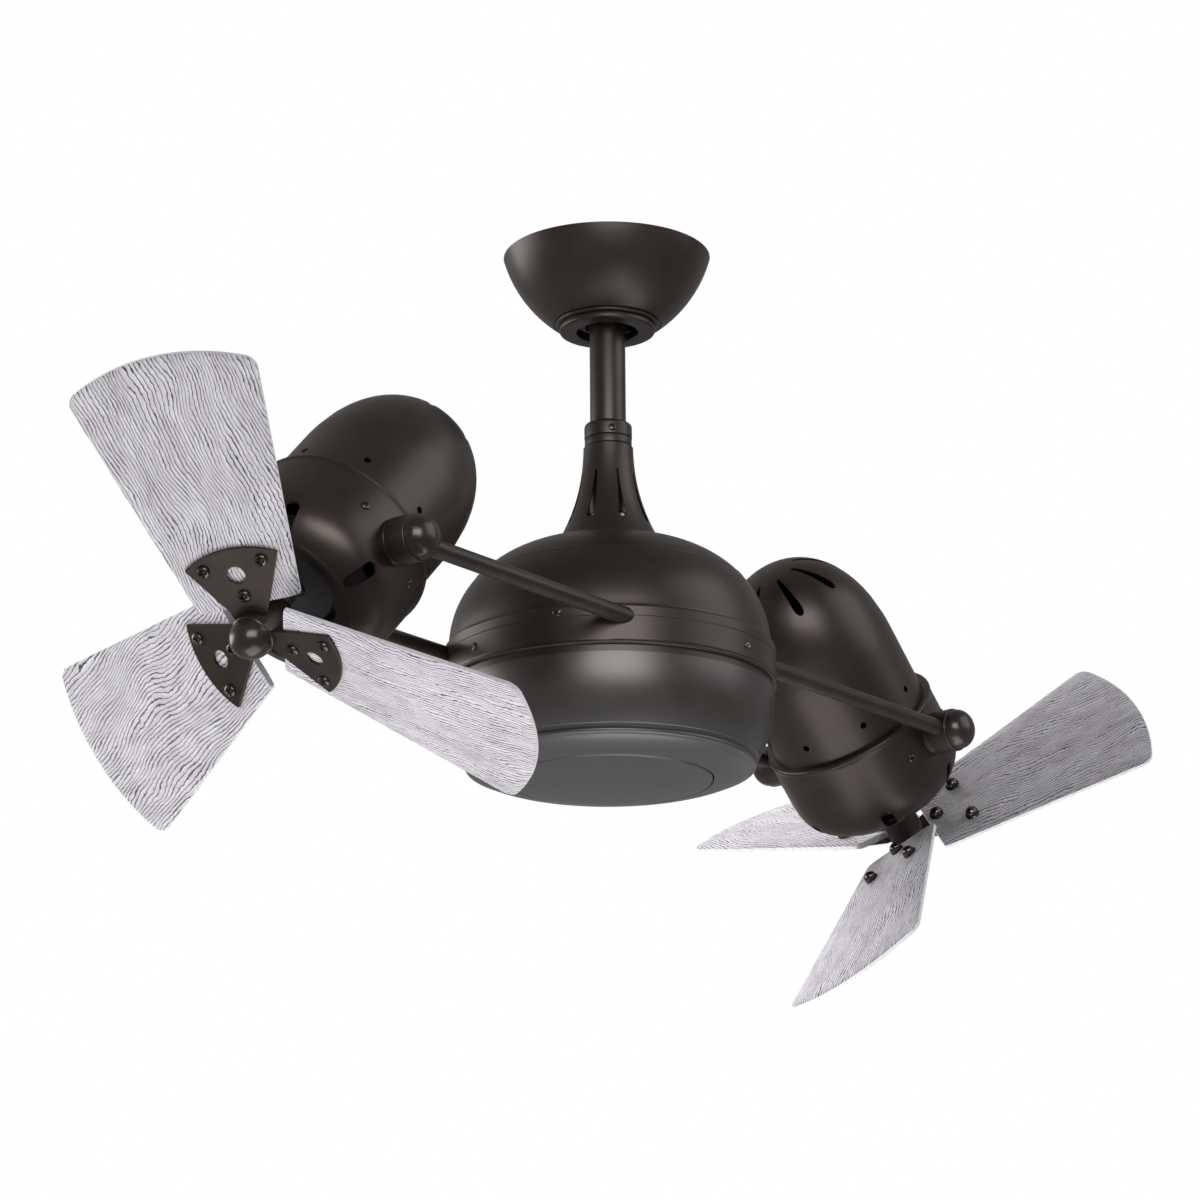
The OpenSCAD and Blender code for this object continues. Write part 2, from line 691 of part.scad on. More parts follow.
module lower_bowl() color(bowl_grey) {
    seam_r = plate_r + 0.6;
    translate([0, 0, arm_z]) rotate_extrude($fn = 128)
        polygon(concat(
            bowl_side(0),
            oval([rim_r - 1, -rim_z - 1], [1, 1], 60, -30, 3),
            bottom_line(rim_r - 2, seam_r, 0),
            bottom_line(seam_r, rim_r - 2 - shell_t, shell_t),
            [for (i = [10:-1:0]) bowl_side(shell_t)[i]],
            [[frame_r - rim_wall - 2.5, -bowl_top], [frame_r - rim_wall - 2.5, -bowl_top + 5],
             [frame_r - rim_wall - press_fit, -bowl_top + 5], [frame_r - rim_wall - press_fit, -bowl_top]]));
}

module bottom_plate() color(bowl_grey) {
    seat_z = bottom_z(plate_r) + shell_t + seat_gap + 0.6;
    translate([0, 0, arm_z]) rotate_extrude($fn = 128)
        polygon(concat(
            bottom_line(0, plate_r, 0),
            [[plate_r, seat_z], [plate_r + 4.5, seat_z], [plate_r + 4.5, seat_z + 2],
             [plate_r - 4, seat_z + 2]],
            bottom_line(plate_r - 4, 0, shell_t)));
}

// ---- Knuckles ----

module knuckles(side) color(bronze)
    for (s = [LEFT, RIGHT])
        translate([side * pivot_x, s * knuckle_in, arm_z]) difference() {
            rotate([-90 * s, 0, 0]) rotate_extrude($fn = 64)
                polygon([[trunnion_r + run_fit, 0], [knuckle_r - 0.5, 0], [knuckle_r, 0.5],
                    [knuckle_r, knuckle_out - knuckle_in - 0.6], [knuckle_r - 0.6, knuckle_out - knuckle_in],
                    [trunnion_r + run_fit, knuckle_out - knuckle_in]]);
            translate([-side * knuckle_r / 2, s * (rod_y - knuckle_in), 0])
                mirror([side == RIGHT ? 1 : 0, 0, 0]) rod_x(rod_r + press_fit, knuckle_r);
        }

module knuckle_caps() color(bronze_light)
    for (side = [LEFT, RIGHT], s = [LEFT, RIGHT])
        translate([side * pivot_x, s * knuckle_out, arm_z]) rotate([-90 * s, 0, 0])
            rotate_extrude($fn = 64)
                polygon(concat([[trunnion_r + 5, 0], [cap_r, 0]],
                    oval([0, 1.5], [cap_r, cap_h - 1.5], 0, 90, 10),
                    [[0, 6.5], [trunnion_r + 5, 6.5]]));

// ---- Motor heads ----

// Outline of the rear dome, a superellipse, at the outer face or inset by a wall
function rear_line(inset) =
    [for (i = [0:16]) let (a = 90 * i / 16, n = 2 / 2.24)
        [(rear_r - inset) * pow(cos(a), n), -rear_foot - (rear_dome - inset) * pow(sin(a), n)]];

module rear_cover(side) color(bronze) {
    lip_s = -seam_s + head_t + seat_gap;
    on_head(side) difference() {
        rotate_extrude()
            polygon(concat(
                [[rear_r - head_t, lip_s + 2], [front_r - head_t - seat_gap, lip_s + 2],
                 [front_r - head_t - seat_gap, lip_s], [rear_r, lip_s]],
                rear_line(0),
                [for (i = [16:-1:0]) rear_line(head_t)[i]]));
        for (i = [0:dome_vents - 1])
            rotate([0, 0, i * 360 / dome_vents]) dome_vent();
        for (i = [0:cover_holes - 1])
            rotate([0, 0, i * 360 / cover_holes]) translate([0, 0, hole_s])
                rod_x(hole_r, rear_r + over);
    }
}

// A teardrop vent, narrow near the dome's apex and round at its wide end
module dome_vent() {
    translate([0, 0, -rear_foot - rear_dome - over]) linear_extrude(height = rear_dome * 0.8) {
        translate([vent_r[1] - vent_end_r[1], 0]) circle(r = vent_end_r[1], $fn = 24);
        polygon([[vent_r[0], -vent_end_r[0]], [vent_r[1] - vent_end_r[1], -vent_end_r[1]],
            [vent_r[1] - vent_end_r[1], vent_end_r[1]], [vent_r[0], vent_end_r[0]]]);
    }
}

// Radius of the front bowl at a station in front of its skirt
function front_bowl_r(s) = front_r - (front_r - nose_r) * pow((s - skirt_s) / (nose_s - skirt_s), 4.8);
function front_line(inset) =
    [for (i = [0:arc_n]) let (s = skirt_s + (nose_s - skirt_s) * i / arc_n) [front_bowl_r(s) - inset, s]];

module front_bowl(side) color(bronze)
    on_head(side) difference() {
        union() {
            rotate_extrude()
                polygon(concat(
                    [[rear_r + seat_gap, -seam_s], [rear_r + seat_gap, head_t - seam_s],
                     [front_r - head_t, head_t - seam_s]],
                    front_line(head_t),
                    [[nose_r - head_t, nose_s - 4], [nose_hole_r, nose_s - 4], [nose_hole_r, nose_s - 2.5],
                     [nose_r - 4, nose_s - 2.5], [nose_r - 3, nose_s + 0.8], [nose_r - 1, nose_s + 0.8]],
                    [for (i = [arc_n:-1:0]) front_line(0)[i]],
                    oval([front_r - 2, 2.4 - seam_s], [2.8, 2.4], 20, -90, 6)));
            for (s = [LEFT, RIGHT])
                translate([0, s * trunnion_boss_in, 0])
                    rod_y(knuckle_r - 0.4, knuckle_in - seat_gap - trunnion_boss_in, s);
        }
        for (s = [LEFT, RIGHT])
            translate([0, s * (trunnion_boss_in - over), 0]) rod_y(trunnion_r + press_fit, 20, s);
        for (i = [0:bowl_slots - 1])
            rotate([0, 0, 30 + i * 360 / bowl_slots]) translate([slot_in, 0, slot_s]) bowl_slot();
        bowl_screw_places() translate([0, 0, -front_r / 4])
            cylinder(r = bowl_screw_r + press_fit, h = front_r / 2, $fn = 32);
    }

// A slot with round ends, long side along Z, cut outwards along +X
module bowl_slot() {
    for (s = [LEFT, RIGHT])
        translate([0, 0, s * (slot_l - slot_w) / 2]) rod_x(slot_w / 2, nose_r);
    translate([0, -slot_w / 2, (slot_w - slot_l) / 2]) cube([nose_r, slot_w, slot_l - slot_w]);
}

module bowl_screw_places() {
    for (a = [90 - bowl_screw_a, 90 + bowl_screw_a, 270 - bowl_screw_a, 270 + bowl_screw_a])
        rotate([0, 0, a]) rotate([0, 90, 0]) translate([0, 0, front_r]) children();
}

module bowl_screws(side) color(bronze_light)
    on_head(side) bowl_screw_places() screw(bowl_screw_r, front_r - motor_r - 2, 3.4, screw_head_t);

module motor_casing(side) color(black) {
    root = motor_r - 3;                          // bosses and posts start inside the casing's wall
    on_head(side) difference() {
        union() {
            translate([0, 0, motor_foot]) cylinder(r = motor_r, h = motor_nose - motor_foot);
            translate([0, 0, motor_nose])
                cylinder(r1 = casing_nose_r[0], r2 = casing_nose_r[1], h = casing_nose_h);
            for (s = [LEFT, RIGHT])
                translate([0, s * root, 0]) rod_y(casing_boss_r, trunnion_boss_in - seat_gap - root, s);
            bowl_screw_places() translate([0, 0, root - front_r])
                cylinder(r = casing_post_r, h = front_r - root - head_t - seat_gap, $fn = 32);
        }
        translate([0, 0, motor_foot + casing_end + bearing_w])
            cylinder(r = stator_bore_r, h = motor_nose - motor_foot - 2 * (casing_end + bearing_w));
        for (s = bearing_seats)
            translate([0, 0, s]) cylinder(r = bearing_out_r, h = bearing_w);
        translate([0, 0, motor_foot - over])
            cylinder(r = shaft_r + 1, h = motor_nose + casing_nose_h - motor_foot + 3 * over);
        for (s = [LEFT, RIGHT])
            translate([0, s * trunnion_root, 0]) rod_y(trunnion_r + press_fit, 20, s);
        bowl_screw_places() translate([0, 0, -(front_r - motor_r)])
            cylinder(r = bowl_screw_r + press_fit, h = front_r, $fn = 32);
    }
}

module motor_bearings(side) color(zinc)
    on_head(side)
        for (s = bearing_seats)
            translate([0, 0, s]) ring(bearing_out_r - press_fit, shaft_r + run_fit, bearing_w);

module trunnion_pins(side) color(steel)
    translate([side * pivot_x, 0, arm_z])
        for (s = [LEFT, RIGHT]) {
            translate([0, s * trunnion_root, 0]) rod_y(trunnion_r, knuckle_out + 5 - trunnion_root, s);
            translate([0, s * (knuckle_out + seat_gap), 0]) rod_y(trunnion_head_r, 4, s);
        }

// ---- Rotors ----

module motor_rotor(side) color(steel)
    on_head(side) {
        translate([0, 0, motor_foot - 2]) cylinder(r = shaft_r, h = hub_top - motor_foot + 2);
        translate([0, 0, bearing_seats[0] + bearing_w + 8])
            cylinder(r = rotor_core_r, h = bearing_seats[1] - bearing_seats[0] - bearing_w - 16);
        translate([0, 0, hub_top - over]) cylinder(r = stub_r, h = stub_l + over, $fn = 48);
    }

module blade_hub(side) color(bronze)
    on_head(side) translate([0, 0, hub_foot]) rotate_extrude($fn = 64)
        polygon([[shaft_r + press_fit, 0], [hub_r - 1, 0], [hub_r, 1], [hub_r, hub_top - hub_foot],
            [shaft_r + press_fit, hub_top - hub_foot]]);

module hub_cap(side) color(bronze_light)
    on_head(side) difference() {
        translate([0, 0, ball_s]) sphere(r = hub_ball_r);
        translate([0, 0, hub_top - hub_ball_r]) cylinder(r = hub_ball_r + over, h = hub_ball_r);
        translate([0, 0, hub_top - over]) cylinder(r = stub_r + press_fit, h = stub_l + 2, $fn = 48);
    }

// Outline of a blade: straight sides, a tip arc and rounded outer corners
function blade_half() =
    let (slope = atan2(tip_half_w - root_half_w, tip_r - tip_shoulder - root_rho),
         c = [tip_r - tip_arc_r, 0],
         side_d = root_half_w * cos(slope) - root_rho * sin(slope) - tip_corner_r,
         b = slope + asin((side_d + c.x * sin(slope)) / (tip_arc_r - tip_corner_r)),
         corner = c + (tip_arc_r - tip_corner_r) * [cos(b), sin(b)])
    concat(arc(c, tip_arc_r, 0, b, 8), arc(corner, tip_corner_r, b, 90 + slope, 6),
        arc([root_rho + 2, root_half_w - 2], 2, 90 + slope, 180, 3));

module blade(side, i) color(barnwood) {
    half = blade_half();
    n = len(half);
    on_blade(side, i - 1) difference() {
        translate([0, 0, -blade_t / 2]) linear_extrude(height = blade_t)
            polygon(concat(half, [for (k = [n - 1:-1:1]) [half[k].x, -half[k].y]]));
        blade_screw_holes();
    }
}

module blade_screw_holes() {
    for (p = blade_screws_at)
        translate([p.x, p.y, -blade_t]) cylinder(r = blade_screw_r + press_fit, h = 4 * blade_t, $fn = 32);
}

module blade_brackets(side) color(bronze)
    difference() {
        for (i = [0:blades - 1])
            on_blade(side, i) translate([0, 0, blade_t / 2]) difference() {
                linear_extrude(height = plate_t) intersection() {
                    circle(r = bracket_r);
                    polygon([[bracket_apex, 0], [bracket_r, (bracket_r - bracket_apex) * tan(bracket_a)],
                        [bracket_r, -(bracket_r - bracket_apex) * tan(bracket_a)]]);
                }
                translate([bracket_hole_at, 0, -over]) cylinder(r = bracket_hole_r, h = plate_t + 2 * over);
                blade_screw_holes();
            }
        on_head(side) translate([0, 0, hub_foot]) cylinder(r = hub_r + press_fit, h = hub_top - hub_foot);
        on_head(side) translate([0, 0, ball_s]) sphere(r = hub_ball_r + press_fit);
    }

module blade_screws(side) color(bronze_light)
    for (i = [0:blades - 1], p = blade_screws_at)
        on_blade(side, i) translate([p.x, p.y, blade_t / 2 + plate_t])
            screw(blade_screw_r, blade_t + plate_t + nut_bore_h, blade_head_r, blade_head_h);

module blade_nuts(side) color(black)
    for (i = [0:blades - 1], p = blade_screws_at)
        on_blade(side, i) translate([p.x, p.y, -blade_t / 2]) mirror([0, 0, 1]) difference() {
            rotate_extrude($fn = 32)
                polygon(concat([[0, 0], [nut_r, 0], [nut_r, 1.2], [nut_r - 0.8, 1.6]],
                    oval([0, 3], [nut_r - 0.8, 4], 0, 90, 6)));
            translate([0, 0, -over])
                cylinder(r = blade_screw_r + press_fit, h = nut_bore_h + press_fit + over, $fn = 32);
        }

ceiling_bracket();
canopy();
canopy_trim_ring();
canopy_screws();
hanger_ball();
downrod();
downrod_pin();
rod_collar();
collar_screw();
yoke();
yoke_pin();
yoke_cover();
spindle();
spindle_nut();
brush_block();
upper_housing();
lower_housing();
housing_screws();
carrier_frame();
main_bearings();
slip_ring();
rod(LEFT);  // front_rod
rod(RIGHT);  // back_rod
lower_bowl();
bottom_plate();
knuckles(LEFT);  // left_knuckles
knuckles(RIGHT);  // right_knuckles
knuckle_caps();
rear_cover(LEFT);  // left_rear_cover
front_bowl(LEFT);  // left_front_bowl
bowl_screws(LEFT);  // left_bowl_screws
motor_casing(LEFT);  // left_motor_casing
motor_bearings(LEFT);  // left_motor_bearings
trunnion_pins(LEFT);  // left_trunnion_pins
rear_cover(RIGHT);  // right_rear_cover
front_bowl(RIGHT);  // right_front_bowl
bowl_screws(RIGHT);  // right_bowl_screws
motor_casing(RIGHT);  // right_motor_casing
motor_bearings(RIGHT);  // right_motor_bearings
trunnion_pins(RIGHT);  // right_trunnion_pins
motor_rotor(LEFT);  // left_motor_rotor
blade_hub(LEFT);  // left_blade_hub
hub_cap(LEFT);  // left_hub_cap
blade(LEFT, 1);  // left_blade_1
blade(LEFT, 2);  // left_blade_2
blade(LEFT, 3);  // left_blade_3
blade_brackets(LEFT);  // left_blade_brackets
blade_screws(LEFT);  // left_blade_screws
blade_nuts(LEFT);  // left_blade_nuts
motor_rotor(RIGHT);  // right_motor_rotor
blade_hub(RIGHT);  // right_blade_hub
hub_cap(RIGHT);  // right_hub_cap
blade(RIGHT, 1);  // right_blade_1
blade(RIGHT, 2);  // right_blade_2
blade(RIGHT, 3);  // right_blade_3
blade_brackets(RIGHT);  // right_blade_brackets
blade_screws(RIGHT);  // right_blade_screws
blade_nuts(RIGHT);  // right_blade_nuts
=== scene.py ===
"""Looks of the twin head ceiling fan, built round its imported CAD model.

Lengths in the shape code are millimetres in the part's own frame: the origin is on the upright
axis at the ceiling, +Z up, X along the rods. Turned pieces are outlines carried round an axis,
pierced shells are pairs of outlines whose columns part round their openings, and blades and
brackets are sheets between two boundary curves. Every grid is worked out as a whole array.
"""
import json
import math

import bmesh
import bpy
import numpy as np
from mathutils import Matrix, Vector


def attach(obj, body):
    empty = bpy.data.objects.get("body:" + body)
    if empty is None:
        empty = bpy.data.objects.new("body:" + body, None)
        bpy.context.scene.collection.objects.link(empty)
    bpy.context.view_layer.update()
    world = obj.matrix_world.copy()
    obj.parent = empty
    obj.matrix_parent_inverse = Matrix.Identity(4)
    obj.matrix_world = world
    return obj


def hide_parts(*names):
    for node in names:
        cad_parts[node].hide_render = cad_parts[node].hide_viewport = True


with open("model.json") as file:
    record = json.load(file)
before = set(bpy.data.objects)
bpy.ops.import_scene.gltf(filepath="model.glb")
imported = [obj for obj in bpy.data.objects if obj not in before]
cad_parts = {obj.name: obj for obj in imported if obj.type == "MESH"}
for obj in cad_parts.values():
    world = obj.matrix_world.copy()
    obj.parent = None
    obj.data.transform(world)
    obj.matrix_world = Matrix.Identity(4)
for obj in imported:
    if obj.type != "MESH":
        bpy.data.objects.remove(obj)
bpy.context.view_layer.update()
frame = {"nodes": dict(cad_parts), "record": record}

# ---- Sizes, in millimetres -------------------------------------------------------------------

MM = 0.001
MERGE = 2e-6                      # points closer than this, in metres, are one
CRISP = 34.0                      # edges that turn by more than this, in degrees, aren't smoothed
FIT = 0.05                        # between a pin and its bore

# ceiling mount and hanger
CANOPY_R, CANOPY_H, CANOPY_FOOT_R, CANOPY_ARC_R, CANOPY_WALL = 77.5, 54.0, 38.5, 99.4, 1.6
CANOPY_HOLE_R, TRIM_R, TRIM_H, TRIM_GAP = 23.0, 36.0, 5.2, 0.25
BALL_Z, BALL_FLAT = -28.0, 14.0
DOWNROD_R, DOWNROD_WALL = 13.35, 2.9
COLLAR_R, COLLAR_H, COLLAR_SCREW_A, COLLAR_SCREW_Z = 17.7, 12.0, -132.0, 4.4
COVER_FOOT_R, COVER_H, COVER_WALL, COVER_NECK_R, COVER_FLARE = 39.4, 83.0, 1.3, 18.4, 2.3
COVER_LIP_R, COVER_LIP_H, COVER_NECK_H = COLLAR_R - 0.2, 5.6, 7.2
COVER_SLOTS, COVER_SLOT_A = 8, 11.8
COVER_SLOT_SPAN, COVER_SLOT_W = (28.5, 68.5), (1.4, 6.6)

# turning centre
ARM_Z = -315.0
COVER_TOP_Z = ARM_Z + 171.34
DOWNROD_FOOT_Z = ARM_Z + 133.34
BAND_R, BAND_TOP, BAND_FOOT = 121.7, 7.4, 20.0
DOME_R, CROWN_R, CROWN_Z, DOME_POWER = 118.3, 24.5, 88.3, 0.94
DOME_BEAD_R = 100.0               # radius of the fine bead that runs round the dome
SHELL_T, SPINDLE_R = 2.5, 10.0
BAND_SCREWS = [(-88, -9), (92, -9), (165, -9), (-15, -9), (-160, 4), (20, 4)]  # angle, height
BOWL_R, BOWL_TOP, BOWL_POWER, RIM_R, RIM_Z = 120.2, 26.0, 2.3, 105.4, 78.0
BOTTOM_SAG, PLATE_R, PLATE_GAP = 17.0, 74.2, 0.8
FRAME_BORE_R = 114.15             # inner radius of the frame that the bowl hangs in

# rods and knuckles
PIVOT_X, ROD_Y, ROD_R, ROD_CUT, ROD_HOLE_R = 321.3, 81.0, 6.35, 0.6, 6.65
KNUCKLE_R, KNUCKLE_IN, KNUCKLE_OUT, CAP_H, TRUNNION_R = 16.6, 72.0, 89.0, 13.7, 5.0
KNUCKLE_CAP_R, CAP_RECESS_R, CAP_RECESS_H = KNUCKLE_R - 1.2, TRUNNION_R + 5, 6.5
BOSS_R, BOSS_IN, BOSS_OUT = KNUCKLE_R - 0.4, 60.0, KNUCKLE_IN - 0.3

# heads; s runs along a motor, from the pivot
REAR_R, REAR_FOOT, REAR_DOME, REAR_POWER, HEAD_T = 62.0, 79.0, 88.0, 2.24, 2.0
FRONT_R, FRONT_POWER, SEAM_S, SKIRT_S = 69.3, 4.8, 26.5, -3.0
NOSE_R, NOSE_S, NOSE_HOLE_R = 50.2, 48.5, 37.0
VENTS, VENT_SPAN, VENT_END_R = 8, (19.0, 47.5), (1.2, 4.1)
HOLE_S, HOLE_R = -43.5, 2.6       # the small round holes, one under each vent
HOLE_SPAN = HOLE_S - HOLE_R, HOLE_S + HOLE_R
BOWL_SLOTS, SLOT_A, SLOT_SPAN, SLOT_W = 6, 30.0, (27.5, 47.5), 10.0
BOWL_SCREW_A = 27.0

# blades, hub and brackets
BLADES, BLADE_S, BLADE_PITCH, BLADE_T = 3, 83.0, 17.0, 5.0
TIP_R, TIP_ARC_R, TIP_CORNER_R, TIP_HALF_W, TIP_SHOULDER = 208.0, 142.0, 10.0, 67.5, 17.0
TIP_ZONE = 14.0                   # how far back from the tip its end curve is followed
ROOT_RHO, ROOT_HALF_W, ROOT_CORNER_R = 19.5, 37.0, 2.0
THIN_BY, THIN_POWER, THIN_TIP = 1.2, 12, 9.0  # how each face of a blade falls towards its rim
HUB_R, HUB_FOOT, HUB_BORE_R, CAP_S, CAP_R = 14.0, 61.0, 6.05, 96.0, 15.4
CAP_BORE_R, CAP_BORE_H = 5.05, 9.0
HUB_TOP = CAP_S - math.sqrt(CAP_R ** 2 - HUB_R ** 2)
BRACKET_R, BRACKET_A, BRACKET_APEX, BRACKET_ROOT, BRACKET_T = 64.0, 28.0, -8.5, 12.0, 2.5
BRACKET_HOLE_AT, BRACKET_HOLE_R = 44.0, 6.3
BLADE_SCREWS = [(51.37, 20.75), (51.37, -20.75), (28.0, 0.0)]

# each screw's head radius, head height and shank radius, and the nuts' flange radius
COLLAR_SCREW, BAND_SCREW = (2.8, 1.3, 2.0), (3.3, 1.5, 2.0)
SHELL_SCREW, VANE_SCREW, NUT_R = (3.4, 1.6, 2.0), (4.6, 3.2, 2.0), 5.6
SHANK_IN = 2.0                    # how far a shank is sunk

SIDES = {"left": {"sign": -1, "tilt": 46.0, "turn": 110.0},
         "right": {"sign": 1, "tilt": 44.0, "turn": 109.0}}

# ---- Places ----------------------------------------------------------------------------------


def shift(x, y, z):
    """Matrix that moves by (x, y, z)."""
    return np.array(Matrix.Translation((x, y, z)))


def turn(axis, degrees):
    """Matrix that turns about an axis through the origin."""
    return np.array(Matrix.Rotation(math.radians(degrees), 4, axis))


def head_place(side):
    """On a head +Z runs along its motor's axis, and the origin is at the pivot."""
    s = SIDES[side]
    return shift(s["sign"] * PIVOT_X, 0, ARM_Z) @ turn("Y", s["sign"] * (90 + s["tilt"]))


def blade_place(side, i):
    """On a blade +X runs out along it, +Y across it and +Z out of its front."""
    return (head_place(side) @ turn("Z", SIDES[side]["turn"] + 360 / BLADES * i)
            @ shift(0, 0, BLADE_S) @ turn("X", BLADE_PITCH))


def radial_place(angle, radius, z):
    """+Z points straight out from the Z axis at an angle, from a point at that radius."""
    return turn("Z", angle) @ shift(radius, 0, z) @ turn("Y", 90)


# ---- Curves ----------------------------------------------------------------------------------


def oval(centre, half, start, end, n):
    """Points centre + (hx cos a, hy sin a) for n + 1 angles a from start to end, in degrees."""
    a = np.radians(np.linspace(start, end, n + 1))
    return np.column_stack([centre[0] + half[0] * np.cos(a), centre[1] + half[1] * np.sin(a)])


def arc_between(p, q, radius, n):
    """Points on the arc of a radius from p to q, whose centre lies to the left of q to p."""
    p, q = np.array(p, float), np.array(q, float)
    d, m = p - q, (p + q) / 2
    half = np.hypot(*d) / 2
    c = m + np.array([-d[1], d[0]]) / (2 * half) * math.sqrt(radius ** 2 - half ** 2)
    a, b = np.arctan2(*(p - c)[::-1]), np.arctan2(*(q - c)[::-1])
    t = np.linspace(a, b, n + 1)
    return c + radius * np.column_stack([np.cos(t), np.sin(t)])


def stations(low, high, count, *spans):
    """Even stations from low to high, and cosine-spaced ones over each opening's span."""
    turns = (1 - np.cos(np.linspace(0, np.pi, 17))) / 2
    extra = [a + (b - a) * turns for a, b in spans]
    return np.unique(np.concatenate([np.linspace(low, high, count), *extra]).round(5))


def offset(line, distance):
    """The line moved sideways by a distance along its own normals (-dz, dr)."""
    d = np.gradient(line, axis=0)
    d /= np.linalg.norm(d, axis=1)[:, None]
    return line + distance * np.column_stack([-d[:, 1], d[:, 0]])


def outline(*corners, n=4):
    """An outline through corners (r, z, f), each rounded to a radius f where f isn't 0."""
    xy = np.array([c[:2] for c in corners], float)
    line = []
    for p, a, b, corner in zip(xy, np.roll(xy, 1, 0), np.roll(xy, -1, 0), corners):
        f = corner[2] if len(corner) > 2 else 0
        if not f:
            line.append(p[None])
            continue
        u, v = (a - p) / np.hypot(*(a - p)), (b - p) / np.hypot(*(b - p))
        half = math.acos(np.clip(u @ v, -1, 1)) / 2
        c = p + (u + v) / np.hypot(*(u + v)) * f / math.sin(half)
        t = np.linspace(0, 1, n + 1)[:, None]
        d = (1 - t) * (p + u * f / math.tan(half) - c) + t * (p + v * f / math.tan(half) - c)
        line.append(c + f * d / np.linalg.norm(d, axis=1)[:, None])
    return np.concatenate(line)


def slit(s, span, width):
    """Half width at stations s of a slot over a span, going evenly from one half width to another,
    with round ends: w sqrt(1 - (1 - t)^2), where t is the distance from an end over the half
    width there."""
    low = np.clip((s - span[0]) / width[0], 0, 1)
    high = np.clip((span[1] - s) / width[1], 0, 1)
    w = np.interp(s, span, width)
    return w * np.sqrt(1 - (1 - low) ** 2) * np.sqrt(1 - (1 - high) ** 2)


# ---- Surfaces --------------------------------------------------------------------------------


class Shape:
    """Points in millimetres and the faces between them, gathered from whole grids."""

    def __init__(self):
        self.points, self.faces, self.flat, self.sawn, self.count = [], [], [], [], 0

    def add(self, points, faces, place=None, flat=None, sawn=0):
        """Takes an array of points and one of corner numbers, and moves the points into place.
        The last so many faces are sawn edges."""
        points = np.asarray(points, float).reshape(-1, 3)
        self.flat.append(points[:, :2] if flat is None else np.asarray(flat, float).reshape(-1, 2))
        if place is not None:
            points = points @ place[:3, :3].T + place[:3, 3]
        self.points.append(points)
        self.faces.append(np.asarray(faces) + self.count)
        self.sawn.append((np.arange(len(faces)) >= len(faces) - sawn).astype(np.float32))
        self.count += len(points)
        return self


def cells(rows, cols, wrap_rows=False, wrap_cols=False):
    """Corner numbers of the four-cornered cells of a grid, closed round where asked."""
    i, j = np.meshgrid(np.arange(rows - (not wrap_rows)), np.arange(cols - (not wrap_cols)),
                       indexing="ij")
    k, m = (i + 1) % rows, (j + 1) % cols
    return np.stack([i * cols + j, i * cols + m, k * cols + m, k * cols + j], -1).reshape(-1, 4)


def turned(shape, profile, place=None, steps=128, closed=True):
    """Adds an outline (r, z) turned about Z: the point (r cos a, r sin a, z) for each angle a.
    A closed outline joins its end to its start; an open one begins and ends on the axis."""
    r, z = np.asarray(profile, float).T
    a = np.linspace(0, 2 * np.pi, steps, endpoint=False)
    grid = np.stack([np.outer(r, np.cos(a)), np.outer(r, np.sin(a)),
                     np.repeat(z[:, None], steps, 1)], -1)
    return shape.add(grid, cells(len(r), steps, closed, True), place)


def pierced(shape, outer, inner, low, high, across, place=None):
    """Adds a shell with openings, turned about Z between two outlines of as many points.
    low and high, by opening, face and outline point, are the angles of an opening's two edges;
    where they are equal the shell is whole. The shell is panels that run from one opening's high
    edge to the next one's low edge in even steps, so their side columns follow the openings."""
    end = np.concatenate([low[1:], low[:1] + 2 * np.pi])
    start, end = (np.concatenate([e[:, 0], e[:, 1, ::-1]], axis=1)[..., None] for e in (high, end))
    gap = (high - low).max(axis=1) > 1e-9
    t = np.linspace(0, 1, across + 1)
    angle = start * (1 - t) + end * t
    n, cols = len(outer), across + 1
    both = np.concatenate([outer, inner[::-1]])
    r, z = both[None, :, 0, None], np.broadcast_to(both[None, :, 1, None], angle.shape)
    grid = np.stack([r * np.cos(angle), r * np.sin(angle), z], -1)
    skin = cells(2 * n, cols, True)
    i = np.arange(n - 1)
    for j in range(len(low)):
        walls = []
        for col, open_at in ((0, gap[j]), (cols - 1, gap[(j + 1) % len(low)])):
            k = i[open_at[:-1] | open_at[1:]]
            walls.append(np.stack([k, k + 1, 2 * n - 2 - k, 2 * n - 1 - k], -1) * cols + col)
        shape.add(grid[j], np.concatenate([skin, *walls]), place)
    return shape


def sheet_between(shape, faces, wrap, place=None, flat=None):
    """Adds a plate between a front and a back grid of points, with its edges. wrap closes the
    columns round, as in a plate with a round hole."""
    front, back = faces
    rows, cols = front.shape[:2]
    size = rows * cols
    face = cells(rows, cols, False, wrap)
    number = np.arange(size).reshape(rows, cols)
    rims = [number[0], number[-1][::-1]] if wrap else [np.concatenate(
        [number[0], number[1:, -1], number[-1, -2::-1], number[-2:0:-1, 0]])]
    edges = []
    for rim in rims:
        ahead = np.roll(rim, -1)
        edges.append(np.stack([rim, ahead, ahead + size, rim + size], -1))
    corners = np.concatenate([face, face[:, ::-1] + size, *edges])
    flat = None if flat is None else np.concatenate([flat.reshape(-1, 2)] * 2)
    points = np.concatenate([front.reshape(-1, 3), back.reshape(-1, 3)])
    return shape.add(points, corners, place, flat, sum(map(len, edges)))


